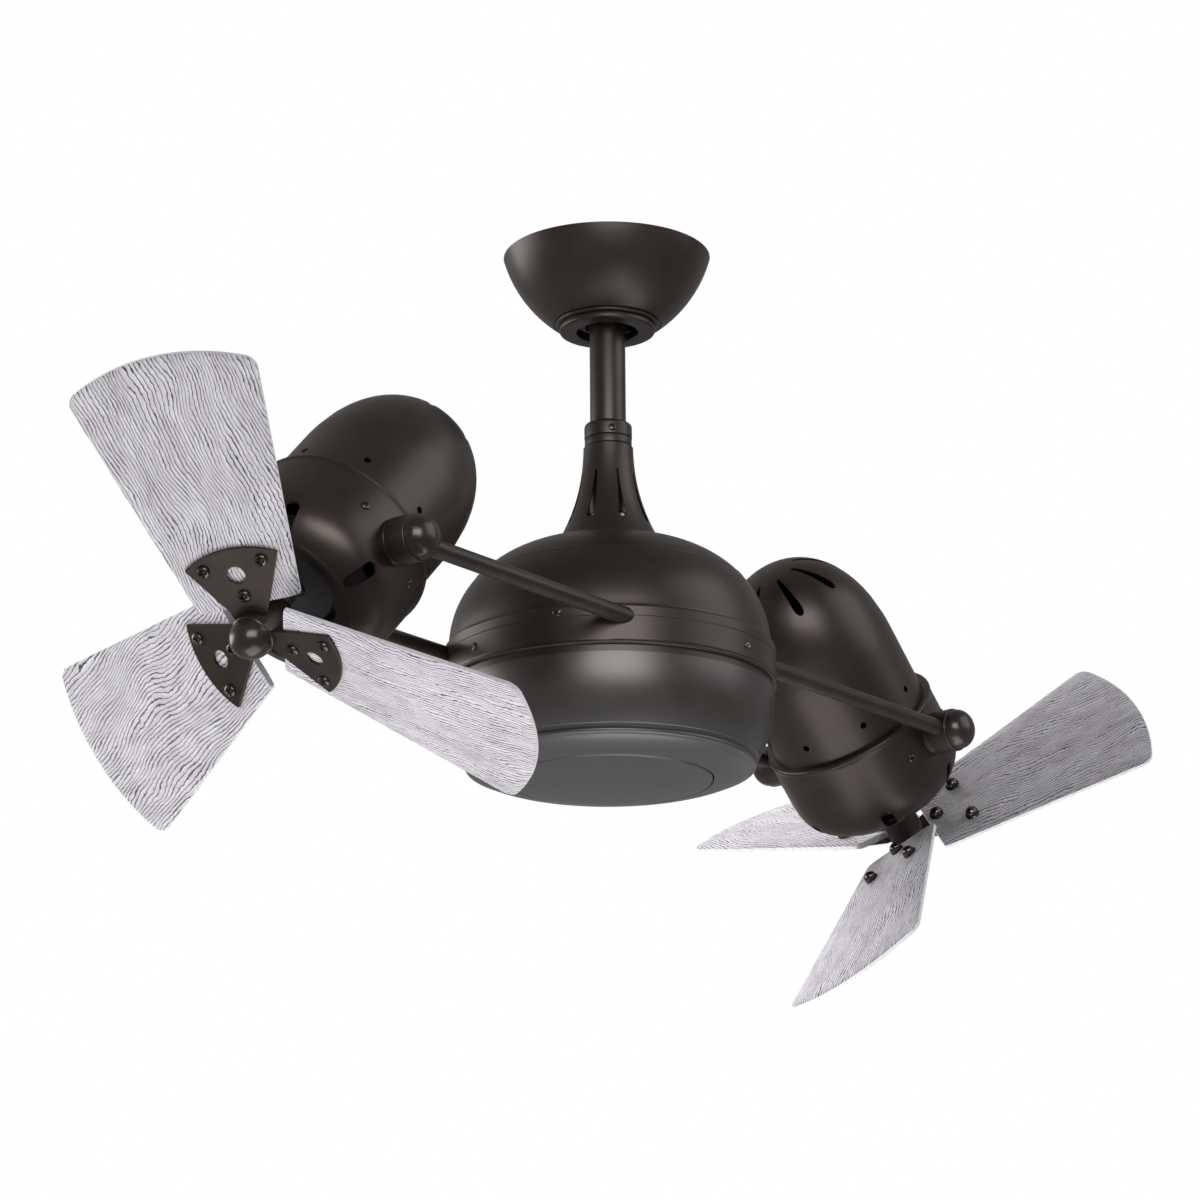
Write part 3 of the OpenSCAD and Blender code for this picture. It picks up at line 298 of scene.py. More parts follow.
def screw_head(shape, place, radius, height, shank, cross=0.55, rings=12, steps=40):
    """Adds a domed head on a shank, with a cross recess. The dome's height is
    h (0.3 + 0.7 sqrt(1 - (r/R)^2)), less a cross whose depth falls off over its arms' width and
    length."""
    r = np.concatenate([np.linspace(0, 1, rings) * radius, [radius, shank, shank]])
    a = np.linspace(0, 2 * np.pi, steps, endpoint=False)
    x, y = np.outer(r, np.cos(a)), np.outer(r, np.sin(a))
    z = height * (0.3 + 0.7 * np.sqrt(np.clip(1 - (r / radius) ** 2, 0, 1)))[:, None] + 0 * x
    arm, reach = 0.17 * radius, 0.62 * radius
    along, across = np.maximum(abs(x), abs(y)), np.minimum(abs(x), abs(y))
    z -= cross * height * np.clip((arm - across) / (0.5 * arm), 0, 1) * np.clip(
        (reach - along) / (0.25 * reach), 0, 1)
    z[rings], z[rings + 1], z[rings + 2] = 0, 0, -SHANK_IN
    return shape.add(np.stack([x, y, z], -1), cells(len(r), steps, False, True), place)


def acorn_nut(shape, place, radius):
    """Adds a flanged six-sided nut with a round crown: rings whose radius bends between a circle
    and the hexagon 1 / cos(a mod 60 - 30) as the height goes up."""
    steps = 48
    a = np.linspace(0, 2 * np.pi, steps, endpoint=False)
    hexagon = math.cos(math.pi / 6) / np.cos(np.mod(a, math.pi / 3) - math.pi / 6)
    rise = np.array([0, 0, 1.0, 1.3, 1.35, 3.6, 4.2, 5.0, 5.8, 6.5, 6.95, 7.0])
    size = np.array([0, 1, 1.0, 0.93, 0.9, 0.9, 0.84, 0.72, 0.56, 0.36, 0.12, 0.0]) * radius
    six = np.array([0, 0, 0, 0, 1, 1, 0.55, 0, 0, 0, 0, 0])[:, None]
    r = size[:, None] * (1 - six + six * hexagon)
    grid = np.stack([r * np.cos(a), r * np.sin(a), np.repeat(rise[:, None], steps, 1)], -1)
    return shape.add(grid, cells(len(rise), steps, False, True), place)


# ---- Materials -------------------------------------------------------------------------------


class Wire:
    """A node's output, on which Python's operators add Math nodes."""

    def __init__(self, paint, socket):
        self.paint, self.socket = paint, socket

    def _with(self, operation, *others):
        return self.paint.node("ShaderNodeMath", {"operation": operation},
                               dict(enumerate(others)))

    def __add__(self, other):
        return self._with("ADD", self, other)

    def __sub__(self, other):
        return self._with("SUBTRACT", self, other)

    def __mul__(self, other):
        return self._with("MULTIPLY", self, other)

    def __rsub__(self, other):
        return self._with("SUBTRACT", other, self)

    __radd__, __rmul__ = __add__, __mul__

    def abs(self):
        """Size without its sign."""
        return self._with("ABSOLUTE", self)

    def part(self):
        """What is left over the whole number below it."""
        return self._with("FRACT", self)

    def step(self, low, high):
        """0 below low, 1 above high, and an S between."""
        return self.paint.node("ShaderNodeMapRange", {"interpolation_type": "SMOOTHSTEP"},
                               {"Value": self, "From Min": low, "From Max": high})


class Paint:
    """A material being mixed. node() adds any node; the shader's sockets are set by name."""

    def __init__(self, name, **constants):
        self.material = bpy.data.materials.new(name)
        self.material.use_nodes = True
        self.tree = self.material.node_tree
        self.shader = self.tree.nodes["Principled BSDF"]
        self.set(self.shader, constants)

    def set(self, target, inputs):
        """Gives a node's sockets their values or links."""
        for key, value in inputs.items():
            socket = target.inputs[key]
            if isinstance(value, Wire):
                self.tree.links.new(value.socket, socket)
            else:
                socket.default_value = value

    def node(self, kind, settings=None, inputs=None, out=0):
        """Adds a node: its settings first, such as a Math node's operation, then its inputs."""
        made = self.tree.nodes.new(kind)
        for key, value in (settings or {}).items():
            setattr(made, key, value)
        self.set(made, inputs or {})
        return Wire(self, made.outputs[out])

    def place(self, scale=(1, 1, 1), uv=None):
        """The point on the piece, stretched: its own coordinates, or its flat ones."""
        if uv:
            point = self.node("ShaderNodeUVMap", {"uv_map": uv})
        else:
            point = self.node("ShaderNodeTexCoord", out="Object")
        return self.node("ShaderNodeMapping", None, {"Vector": point, "Scale": scale})

    def noise(self, point, scale, detail=2.0, rough=0.5):
        """Soft noise from 0 to 1 at a scale, per unit of the point."""
        return self.node("ShaderNodeTexNoise", None, {"Vector": point, "Scale": scale,
                                                      "Detail": detail, "Roughness": rough})

    def blend(self, share, low, high):
        """A colour between two, by a share from 0 to 1."""
        return self.node("ShaderNodeMix", {"data_type": "RGBA"},
                         {"Factor": share, "A": colour(low), "B": colour(high)}, "Result")

    def bump(self, strength, distance, height):
        """A normal tilted by a height, whose full size is a distance in metres."""
        return self.node("ShaderNodeBump", None,
                         {"Strength": strength, "Distance": distance, "Height": height})

    def axis(self, point, name):
        """One of a point's three numbers."""
        return self.node("ShaderNodeSeparateXYZ", None, {"Vector": point}, name)

    def finish(self, **sockets):
        """Links what changes over the surface to the shader and returns the material."""
        self.set(self.shader, {k.replace("_", " "): v for k, v in sockets.items()})
        return self.material


def colour(value):
    """A colour for a socket: a Wire as it is, three numbers with an alpha of 1."""
    return value if isinstance(value, Wire) else (*value, 1)


# ---- Finishes --------------------------------------------------------------------------------

PER_METRE = 1000                  # millimetres, as Object coordinates are in metres
LINE_GAP, LINE_LEAN = 2.7, 0.1    # between the wood's growth lines, and their slope
WOOD_APART, WOOD_ACROSS = 900, 300  # how far apart in the wood the blades are cut


def bronze(name, deep, pale, rough, grain=0.35, gloss=0.34, foot=None, warm=(1.0, 0.89, 0.83)):
    """Oil-rubbed bronze enamel: a soft mottle between two browns, and the fine ripple of spray.
    What it mirrors takes the warm tint.
    A foot is a (tone, high, low): the brown gives way to that tone between the two heights;
    that tone is a painted reflection."""
    p = Paint(name, **{"Specular IOR Level": gloss, "IOR": 1.5, "Specular Tint": (*warm, 1)})
    at = p.place([PER_METRE] * 3)
    mottle = p.noise(at, 0.035, 4, 0.6)
    ripple = p.noise(at, 0.9, 3, 0.55)
    shade = p.blend((mottle * 0.75 + ripple * 0.25).step(0.3, 0.7), deep, pale)
    if foot:
        tone, high, low = foot
        shade = p.blend((-1 * p.axis(at, "Z")).step(-high, -low), shade, tone)
    return p.finish(Base_Color=shade, Roughness=rough - 0.05 + mottle * 0.08 + ripple * 0.02,
                    Normal=p.bump(grain, 0.00006, ripple))


def metal(name, deep, pale, rough, streak=(1, 1, 1)):
    """Bare metal: a tint that wanders between two, and scratches stretched along one axis."""
    p = Paint(name, Metallic=1.0)
    at = p.place([PER_METRE * s for s in streak])
    stain = p.noise(at, 0.05, 4, 0.6)
    scratch = p.noise(at, 1.6, 4, 0.65)
    return p.finish(Base_Color=p.blend(stain.step(0.3, 0.7), deep, pale),
                    Roughness=rough - 0.08 + scratch * 0.16, Normal=p.bump(0.3, 0.00005, scratch))


def plastic(name, tone, rough):
    """Moulded black plastic, or a near black that paints shade, with a fine grain."""
    p = Paint(name, **{"Specular IOR Level": 0.4})
    at = p.place([PER_METRE] * 3)
    grain = p.noise(at, 2.2, 2, 0.6)
    shade = p.noise(at, 0.08, 3, 0.5)
    return p.finish(Base_Color=p.blend(shade, [0.7 * c for c in tone], tone),
                    Roughness=rough - 0.06 + grain * 0.12, Normal=p.bump(0.4, 0.00004, grain))


def weathered_wood(name):
    """Barnwood: engraved growth lines, LINE_GAP apart, that lean across the blade and wander with
    three noises; each thins and swells and has a painted highlight, a pale line, at its side, on a
    lilac grey. The sawn edges are nearly plain, and painted paler as a highlight along them."""
    p = Paint(name, **{"Specular IOR Level": 0.15})
    at = p.place((1, 1, 1), "blade")
    long = p.place((0.4, 1, 1), "blade")
    x, y = (p.axis(at, name) for name in "XY")
    wander = (p.noise(at, 0.0115, 1) * 12.0 + p.noise(long, 0.055, 2) * 3.4
              + p.noise(at, 0.3, 2) * 0.9)
    line = (y * (1 / LINE_GAP) - x * (LINE_LEAN / LINE_GAP) + wander).part()
    swell = p.noise(long, 0.11, 3, 0.6)
    near = (line - 0.5).abs()
    edge = p.node("ShaderNodeAttribute", {"attribute_name": "sawn"}, None, "Fac")
    face = 1 - 0.9 * edge
    dark = 1 - (near - swell.step(0.4, 0.75) * 0.1).step(0.035, 0.135)
    dark = dark * swell.step(0.12, 0.42) * face
    # painted highlight: a pale line beside each dark growth line, where light catches its groove
    white = 1 - (line - 0.76).abs().step(0.03, 0.15)
    white = white * p.noise(long, 0.2, 2).step(0.35, 0.65) * face
    cloud = p.noise(long, 0.05, 3, 0.6)
    ground = p.blend(cloud.step(0.3, 0.7), (0.53, 0.505, 0.545), (0.65, 0.625, 0.665))
    ground = p.blend(white * 0.6, ground, (0.90, 0.885, 0.91))
    # painted highlight: the sawn edges are made paler than the faces
    ground = p.blend(edge * 0.8, ground, (0.88, 0.865, 0.9))
    ground = p.blend(dark * 0.94, ground, (0.045, 0.04, 0.046))
    relief = white * 0.3 - dark + p.noise(long, 2.0, 2) * 0.15
    return p.finish(Base_Color=ground, Roughness=0.62 + dark * 0.2,
                    Normal=p.bump(0.4, 0.0002, relief))


BRONZE = bronze("satin_bronze", (0.0155, 0.0108, 0.0082), (0.0255, 0.0185, 0.0148), 0.37)
ROD_BRONZE = bronze("rod_bronze", (0.0155, 0.011, 0.0085), (0.025, 0.0185, 0.015), 0.34, 0.25)
# painted reflection: a paler copy of the bronze that turns grey towards the bowl's foot
BOWL_BRONZE_PAINTED_REFLECTION = bronze("bowl_bronze", (0.021, 0.0165, 0.014), (0.031, 0.0255, 0.0225), 0.36,
                     gloss=0.57, warm=(1.0, 0.96, 0.945),
                     foot=((0.041, 0.0385, 0.039), ARM_Z - 50, ARM_Z - 80))
CAP_BRONZE = bronze("cap_bronze", (0.022, 0.0175, 0.0155), (0.034, 0.0285, 0.0255), 0.26, 0.2)
SCREW_BRONZE = bronze("screw_bronze", (0.010, 0.008, 0.007), (0.019, 0.016, 0.014), 0.2, 0.2, 0.55)
NUT_BLACK = bronze("nut_black", (0.008, 0.007, 0.0065), (0.016, 0.014, 0.013), 0.13, 0.2, 0.9)
WOOD = weathered_wood("barnwood")
# painted shade: the zinc pieces inside the covers are near black for the shade in there
ZINC_PAINTED_SHADE = metal("zinc_painted_shade", (0.05, 0.05, 0.052), (0.085, 0.085, 0.087), 0.42)
STEEL = metal("turned_steel", (0.26, 0.26, 0.27), (0.40, 0.40, 0.41), 0.34, (0.12, 1, 1))
# painted shade: the cast alloy pieces, such as the motor casings, are near black for the shade
# inside
CAST_PAINTED_SHADE = plastic("cast_alloy_painted_shade", (0.014, 0.0145, 0.016), 0.5)
BRASS = metal("brass_ring", (0.58, 0.42, 0.17), (0.74, 0.57, 0.27), 0.3)
PLASTIC = plastic("black_plastic", (0.014, 0.014, 0.015), 0.5)

# ---- Pieces ----------------------------------------------------------------------------------


def piece(name, shape, body, nodes, material, bevel=0.0, uv=None):
    """Makes the gathered faces one closed mesh, smooth but for its corners, on its body."""
    points = (np.concatenate(shape.points) * MM).astype(np.float32)
    corners = np.concatenate(shape.faces).astype(np.int32)
    mesh = bpy.data.meshes.new(name)
    mesh.vertices.add(len(points))
    mesh.vertices.foreach_set("co", points.ravel())
    mesh.loops.add(corners.size)
    mesh.loops.foreach_set("vertex_index", corners.ravel())
    mesh.polygons.add(len(corners))
    mesh.polygons.foreach_set("loop_start", np.arange(0, corners.size, 4, dtype=np.int32))
    mesh.update(calc_edges=True)
    if uv:
        flat = np.concatenate(shape.flat).astype(np.float32)
        mesh.uv_layers.new(name=uv).data.foreach_set("uv", flat[corners.ravel()].ravel())
        sawn = mesh.attributes.new("sawn", "FLOAT", "FACE")
        sawn.data.foreach_set("value", np.concatenate(shape.sawn))
    bm = bmesh.new()
    bm.from_mesh(mesh)
    bmesh.ops.remove_doubles(bm, verts=bm.verts, dist=MERGE)
    bmesh.ops.recalc_face_normals(bm, faces=bm.faces)
    bm.to_mesh(mesh)
    bm.free()
    mesh.shade_smooth()
    if not bevel:
        mesh.set_sharp_from_angle(angle=math.radians(CRISP))
    mesh.materials.append(material)
    made = bpy.data.objects.new(name, mesh)
    bpy.context.scene.collection.objects.link(made)
    if bevel:
        soften = made.modifiers.new("soften", "BEVEL")
        soften.width, soften.segments, soften.limit_method = bevel * MM, 2, "ANGLE"
        soften.angle_limit, soften.harden_normals = math.radians(CRISP), True
    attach(made, body)
    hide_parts(*nodes)
    return made


def canopy():
    """The bell that covers the bracket, with a bead round its foot."""
    side = arc_between((CANOPY_R, 0), (CANOPY_FOOT_R, -CANOPY_H), CANOPY_ARC_R, 40)
    inside = offset(side, -CANOPY_WALL)[::-1]
    foot = -CANOPY_H
    bead = oval((CANOPY_FOOT_R - 1.4, foot + 1.2), (1.6, 1.4), 40, -90, 8)
    floor = [(CANOPY_HOLE_R, foot), (CANOPY_HOLE_R, foot + CANOPY_WALL)]
    shape = Shape()
    turned(shape, np.concatenate([side[:-2], bead, floor, inside[2:]]), None, 160)
    piece("canopy_bell", shape, "ceiling_mount", ["canopy"], BRONZE)
    shape = Shape()
    top, low = foot - TRIM_GAP, foot - TRIM_H
    turned(shape, outline((CANOPY_HOLE_R, top, 0.3), (TRIM_R - 0.4, top, 0.9),
                          (TRIM_R, low, 1.7), (CANOPY_HOLE_R, low, 0.6)), None, 144)
    piece("canopy_trim", shape, "ceiling_mount", ["canopy_trim_ring"], BRONZE)


def hanger():
    """Downrod, its collar and set screw, and the flared cover over the yoke."""
    shape = Shape()
    r, top = DOWNROD_R, BALL_Z + BALL_FLAT
    turned(shape, outline((r - DOWNROD_WALL, DOWNROD_FOOT_Z), (r, DOWNROD_FOOT_Z, 0.4),
                          (r, top, 0.4), (r - DOWNROD_WALL, top)), None, 96)
    piece("down_rod", shape, "hanger", ["downrod"], ROD_BRONZE)
    shape = Shape()
    seat = shift(0, 0, COVER_TOP_Z)
    turned(shape, outline((r + FIT, 0), (COLLAR_R, 0, 0.7), (COLLAR_R, COLLAR_H, 3.2),
                          (r + 0.4, COLLAR_H, 0.3), n=8), seat, 96)
    piece("collar", shape, "hanger", ["rod_collar"], BRONZE)
    shape = Shape()
    on_collar = radial_place(COLLAR_SCREW_A, COLLAR_R - 0.2, COVER_TOP_Z + COLLAR_SCREW_Z)
    screw_head(shape, on_collar, *COLLAR_SCREW, cross=0.8)
    piece("collar_set_screw", shape, "hanger", ["collar_screw"], SCREW_BRONZE)

    # below its lip the cover's radius grows as a power of the depth
    d = stations(COVER_NECK_H, COVER_H, 40, COVER_SLOT_SPAN)
    flare = COVER_NECK_R + (COVER_FOOT_R - COVER_NECK_R) * (d / COVER_H) ** COVER_FLARE
    side = np.column_stack([flare, -d])
    bore = r + 0.3
    lip = outline((bore, 0), (COVER_LIP_R, 0, 0.8), (COVER_LIP_R, -COVER_LIP_H, 0.4),
                  (COVER_LIP_R - 0.6, -COVER_LIP_H - 0.8))
    outer = np.concatenate([lip, side])
    under = np.column_stack([np.linspace(bore, COLLAR_R - COVER_WALL - 1, len(lip)),
                             np.full(len(lip), -2.0)])
    inner = np.concatenate([under, side - (COVER_WALL, 0)])
    width = slit(-outer[:, 1], COVER_SLOT_SPAN, [w / 2 for w in COVER_SLOT_W])
    shape = Shape()
    marks = np.radians(COVER_SLOT_A + np.arange(COVER_SLOTS) * 360 / COVER_SLOTS)
    pierced(shape, outer, inner, *round_cuts(marks, width, outer, inner), 14, seat)
    piece("yoke_cover_flare", shape, "hanger", ["yoke_cover"], BRONZE)


def round_cuts(marks, width, outer, inner):
    """Angles of the two edges of each opening, on both faces: mark -/+ asin(half width / r)."""
    r = np.maximum(np.stack([outer[:, 0], inner[:, 0]]), 1e-3)
    a = np.arcsin(np.clip(width / r, 0, 1))
    return marks[:, None, None] - a, marks[:, None, None] + a


def rod_cuts(on_band, outer, inner):
    """The same for the four openings that the rods pass: asin((y -/+ half width) / r), where the
    half width is that of a round hole, sqrt(R^2 - z^2), on the band and 0 off it."""
    z = np.where(on_band, outer[:, 1], ROD_HOLE_R)
    width = np.sqrt(np.clip(ROD_HOLE_R ** 2 - z ** 2, 0, None))
    r = np.stack([outer[:, 0], inner[:, 0]])
    near, far = (np.arcsin(np.clip((ROD_Y + s * width) / r, -1, 1)) for s in (-1, 1))
    middle = np.arcsin(np.clip(ROD_Y / r, -1, 1))
    near, far = (np.where(width > 0, e, middle) for e in (near, far))
    return (np.stack([near, np.pi - far, np.pi + near, 2 * np.pi - far]),
            np.stack([far, np.pi - near, np.pi + far, 2 * np.pi - near]))


def upper_housing():
    """Dome of the turning centre, and the upper half of the band that the rods pass."""
    # the dome is (cos a, sin a) raised to a power, with a bead of height e^-(turn from it)^2
    out = (DOME_BEAD_R - CROWN_R) / (DOME_R - CROWN_R)
    bead = math.degrees(math.acos(out ** (1 / DOME_POWER)))
    a = np.unique(np.concatenate([np.linspace(2, 90, 56), bead + np.linspace(-1.2, 1.2, 15)]))[::-1]
    c, s = np.cos(np.radians(a)), np.sin(np.radians(a))
    dome = np.column_stack([CROWN_R + (DOME_R - CROWN_R) * np.maximum(c, 0) ** DOME_POWER,
                            BAND_TOP + (CROWN_Z - BAND_TOP) * s ** DOME_POWER])
    dome = offset(dome, 0.3 * np.exp(-((a - bead) / 0.4) ** 2)[:, None])
    hollow = oval((DOME_R + 2.4, BAND_TOP + 3), (2.4, 3), 180, 270, 8)
    dome = dome[dome[:, 1] > BAND_TOP + 3.3]
    z = stations(0.25, BAND_TOP - 0.5, 8, (0.25, ROD_HOLE_R))[::-1]
    band = np.column_stack([np.full(len(z), BAND_R), z])
    ledge = oval((BAND_R - 0.7, BAND_TOP - 0.7), (0.7, 0.7), 90, 0, 4)[:-1]
    outer = np.concatenate([[(SPINDLE_R + 2, CROWN_Z), (CROWN_R - 1.2, CROWN_Z)], dome, hollow,
                            ledge, band, [(BAND_R - 0.25, 0.0)]])
    inner = outer - np.where(outer[:, 1] > BAND_TOP - 0.2, SHELL_T * np.clip(
        (outer[:, 1] - BAND_TOP) / 60, 0, 1), 0)[:, None] * (0, 1)
    inner[:, 0] -= np.where(outer[:, 0] > CROWN_R, SHELL_T, 0)
    inner[:, 0] = np.maximum(inner[:, 0], SPINDLE_R + 2)
    lip = outer[:, 0] > DOME_R + 0.01
    inner[lip, 0] = np.minimum(inner[lip, 0], BAND_R - SHELL_T)
    shape = Shape()
    pierced(shape, outer, inner, *rod_cuts(lip, outer, inner), 36, shift(0, 0, ARM_Z))
    piece("housing_dome", shape, "carrier", ["upper_housing"], BRONZE)


def lower_housing():
    """Lower half of the band with its rolled foot, and the band's screws."""
    z = np.concatenate([[0.0], -stations(0.25, BAND_FOOT - 1.8, 12, (0.25, ROD_HOLE_R))])
    skirt = np.column_stack([np.full(len(z), BAND_R), z])
    skirt[0, 0] -= 0.25
    roll = oval((BAND_R - 0.8, 0.6 - BAND_FOOT), (1.5, 1.3), 60, -90, 10)
    neck = outline((BOWL_R - 1.0, -BAND_FOOT - 1), (BOWL_R - 1.0, -BOWL_TOP))
    outer = np.concatenate([skirt, roll, neck])
    inner = outer.copy()
    inner[:, 0] = FRAME_BORE_R
    inner[:len(skirt), 0] = BAND_R - SHELL_T
    inner[len(skirt):len(skirt) + 3, 0] = np.linspace(BAND_R - SHELL_T, FRAME_BORE_R, 3)
    on_band = np.arange(len(outer)) < len(skirt)
    shape = Shape()
    pierced(shape, outer, inner, *rod_cuts(on_band, outer, inner), 36, shift(0, 0, ARM_Z))
    piece("housing_band", shape, "carrier", ["lower_housing"], BRONZE)

    shape = Shape()
    for angle, z in BAND_SCREWS:
        screw_head(shape, radial_place(angle, BAND_R - 0.1, ARM_Z + z), *BAND_SCREW)
    piece("band_screws", shape, "carrier", ["housing_screws"], SCREW_BRONZE)


def bottom(r):
    """Points of the underside at radii r, a flat ellipse: z = -rim - sag sqrt(1 - (r/R)^2)."""
    sag = BOTTOM_SAG * np.sqrt(np.clip(1 - (r / RIM_R) ** 2, 0, 1))
    return np.column_stack([r, -RIM_Z - sag])


def lower_bowl():
    """Bowl under the band, and the plate that closes it."""
    at = shift(0, 0, ARM_Z)
    # the bowl draws in as a power of the depth, to a groove and a rounded rim
    d = np.linspace(0, RIM_Z - BOWL_TOP, 30)
    drawn = (BOWL_R - RIM_R) * (d / (RIM_Z - BOWL_TOP)) ** BOWL_POWER
    side = np.column_stack([BOWL_R - drawn, -BOWL_TOP - d])
    side = side[side[:, 1] > 1.9 - RIM_Z]
    groove = side[-1] + np.array([(-0.2, -0.3), (-0.75, -0.6), (-0.85, -0.9)])
    rim = oval((RIM_R - 1.5, -RIM_Z - 1.3), (2.4, 2.2), 52, -75, 14)
    seam = PLATE_R + PLATE_GAP
    under = bottom(np.linspace(RIM_R - 2.5, seam + 0.9, 24))
    edge = bottom(np.array([seam]))
    inside = offset(np.concatenate([side, under]), -SHELL_T)[::-1]
    hook = [(FRAME_BORE_R - 2.5, -BOWL_TOP), (FRAME_BORE_R - 2.5, -BOWL_TOP + 5),
            (FRAME_BORE_R - 0.1, -BOWL_TOP + 5), (FRAME_BORE_R - 0.1, -BOWL_TOP)]
    shape = Shape()
    turned(shape, np.concatenate([side, groove, rim, under, edge + (0, 0.9), edge + (0, SHELL_T),
                                  inside, hook]), at, 160)
    piece("housing_bowl", shape, "carrier", ["lower_bowl"], BOWL_BRONZE_PAINTED_REFLECTION)

    face = bottom(np.linspace(0, PLATE_R - 0.9, 30))
    shape = Shape()
    turned(shape, np.concatenate([face, bottom(np.array([PLATE_R])) + (0, 0.9),
                                  bottom(np.array([PLATE_R])) + (0, 4.2),
                                  (face + (0, SHELL_T))[-3::-1]]), at, 160, closed=False)
    piece("bowl_plate", shape, "carrier", ["bottom_plate"], BOWL_BRONZE_PAINTED_REFLECTION)


def rods_and_knuckles():
    """The two through-rods, and at each head two barrels with domed caps."""
    for name, y in (("front", -ROD_Y), ("back", ROD_Y)):
        shape = Shape()
        half = PIVOT_X - KNUCKLE_R / 2
        turned(shape, [(0, -half), (ROD_R - ROD_CUT, -half), (ROD_R, ROD_CUT - half),
                       (ROD_R, half - ROD_CUT), (ROD_R - ROD_CUT, half), (0, half)],
               shift(0, y, ARM_Z) @ turn("Y", 90), 72, closed=False)
        piece(name + "_arm", shape, "carrier", [name + "_rod"], ROD_BRONZE)
    caps = Shape()
    for side, s in SIDES.items():
        shape = Shape()
        for y in (-1, 1):
            at = shift(s["sign"] * PIVOT_X, 0, ARM_Z) @ turn("X", -90 * y)
            bore = TRUNNION_R + FIT
            turned(shape, outline((bore, KNUCKLE_IN, 0.3), (KNUCKLE_R, KNUCKLE_IN, 0.8),
                                  (KNUCKLE_R, KNUCKLE_OUT, 1.0), (bore, KNUCKLE_OUT)), at, 96)
            recess = [(0, CAP_RECESS_H), (CAP_RECESS_R, CAP_RECESS_H), (CAP_RECESS_R, 0)]
            dome = oval((0, 1.5), (KNUCKLE_CAP_R, CAP_H - 1.5), 0, 90, 20)
            turned(caps, np.concatenate([recess, [(KNUCKLE_CAP_R, 0)], dome]) + (0, KNUCKLE_OUT),
                   at, 96, closed=False)
        piece(side + "_barrels", shape, "carrier", [side + "_knuckles"], BRONZE)
    piece("barrel_caps", caps, "carrier", ["knuckle_caps"], CAP_BRONZE)


def rear_shell(side):
    """Rear cover of a head, with its teardrop vents and round holes."""
    # the rear dome is (cos a, sin a) raised to a power
    a = np.linspace(90, 0, 200)
    c, s = np.cos(np.radians(a)), np.sin(np.radians(a))
    full = np.column_stack([REAR_R * np.abs(c) ** (2 / REAR_POWER),
                            -REAR_FOOT - REAR_DOME * s ** (2 / REAR_POWER)])
    r = stations(0, REAR_R - 0.4, 30, VENT_SPAN)
    top = np.column_stack([r, np.interp(r, full[:, 0], full[:, 1])])
    z = np.interp(np.linspace(0, 1, 12)[1:], [0, 1], [top[-1, 1], -REAR_FOOT])
    knee = np.column_stack([np.interp(z, full[:, 1], full[:, 0]), z])
    z = stations(-REAR_FOOT + 1, -SEAM_S + HEAD_T + 0.3, 16, HOLE_SPAN)
    wall = np.column_stack([np.full(len(z), REAR_R), z])
    outer = np.concatenate([top, knee, wall])
    inner = offset(outer, -HEAD_T)
    inner[0], inner[:, 0] = (0, outer[0, 1] + HEAD_T), np.maximum(inner[:, 0], 0)
    on_dome = np.arange(len(outer)) < len(top)
    width = np.where(on_dome, slit(outer[:, 0], VENT_SPAN, VENT_END_R),
                     slit(outer[:, 1], HOLE_SPAN, (HOLE_R, HOLE_R)))
    marks = np.radians(np.arange(VENTS) * 360 / VENTS)
    shape = Shape()
    pierced(shape, outer, inner, *round_cuts(marks, width, outer, inner), 14, head_place(side))
    piece(side + "_rear_shell", shape, side + "_head", [side + "_rear_cover"], BRONZE)


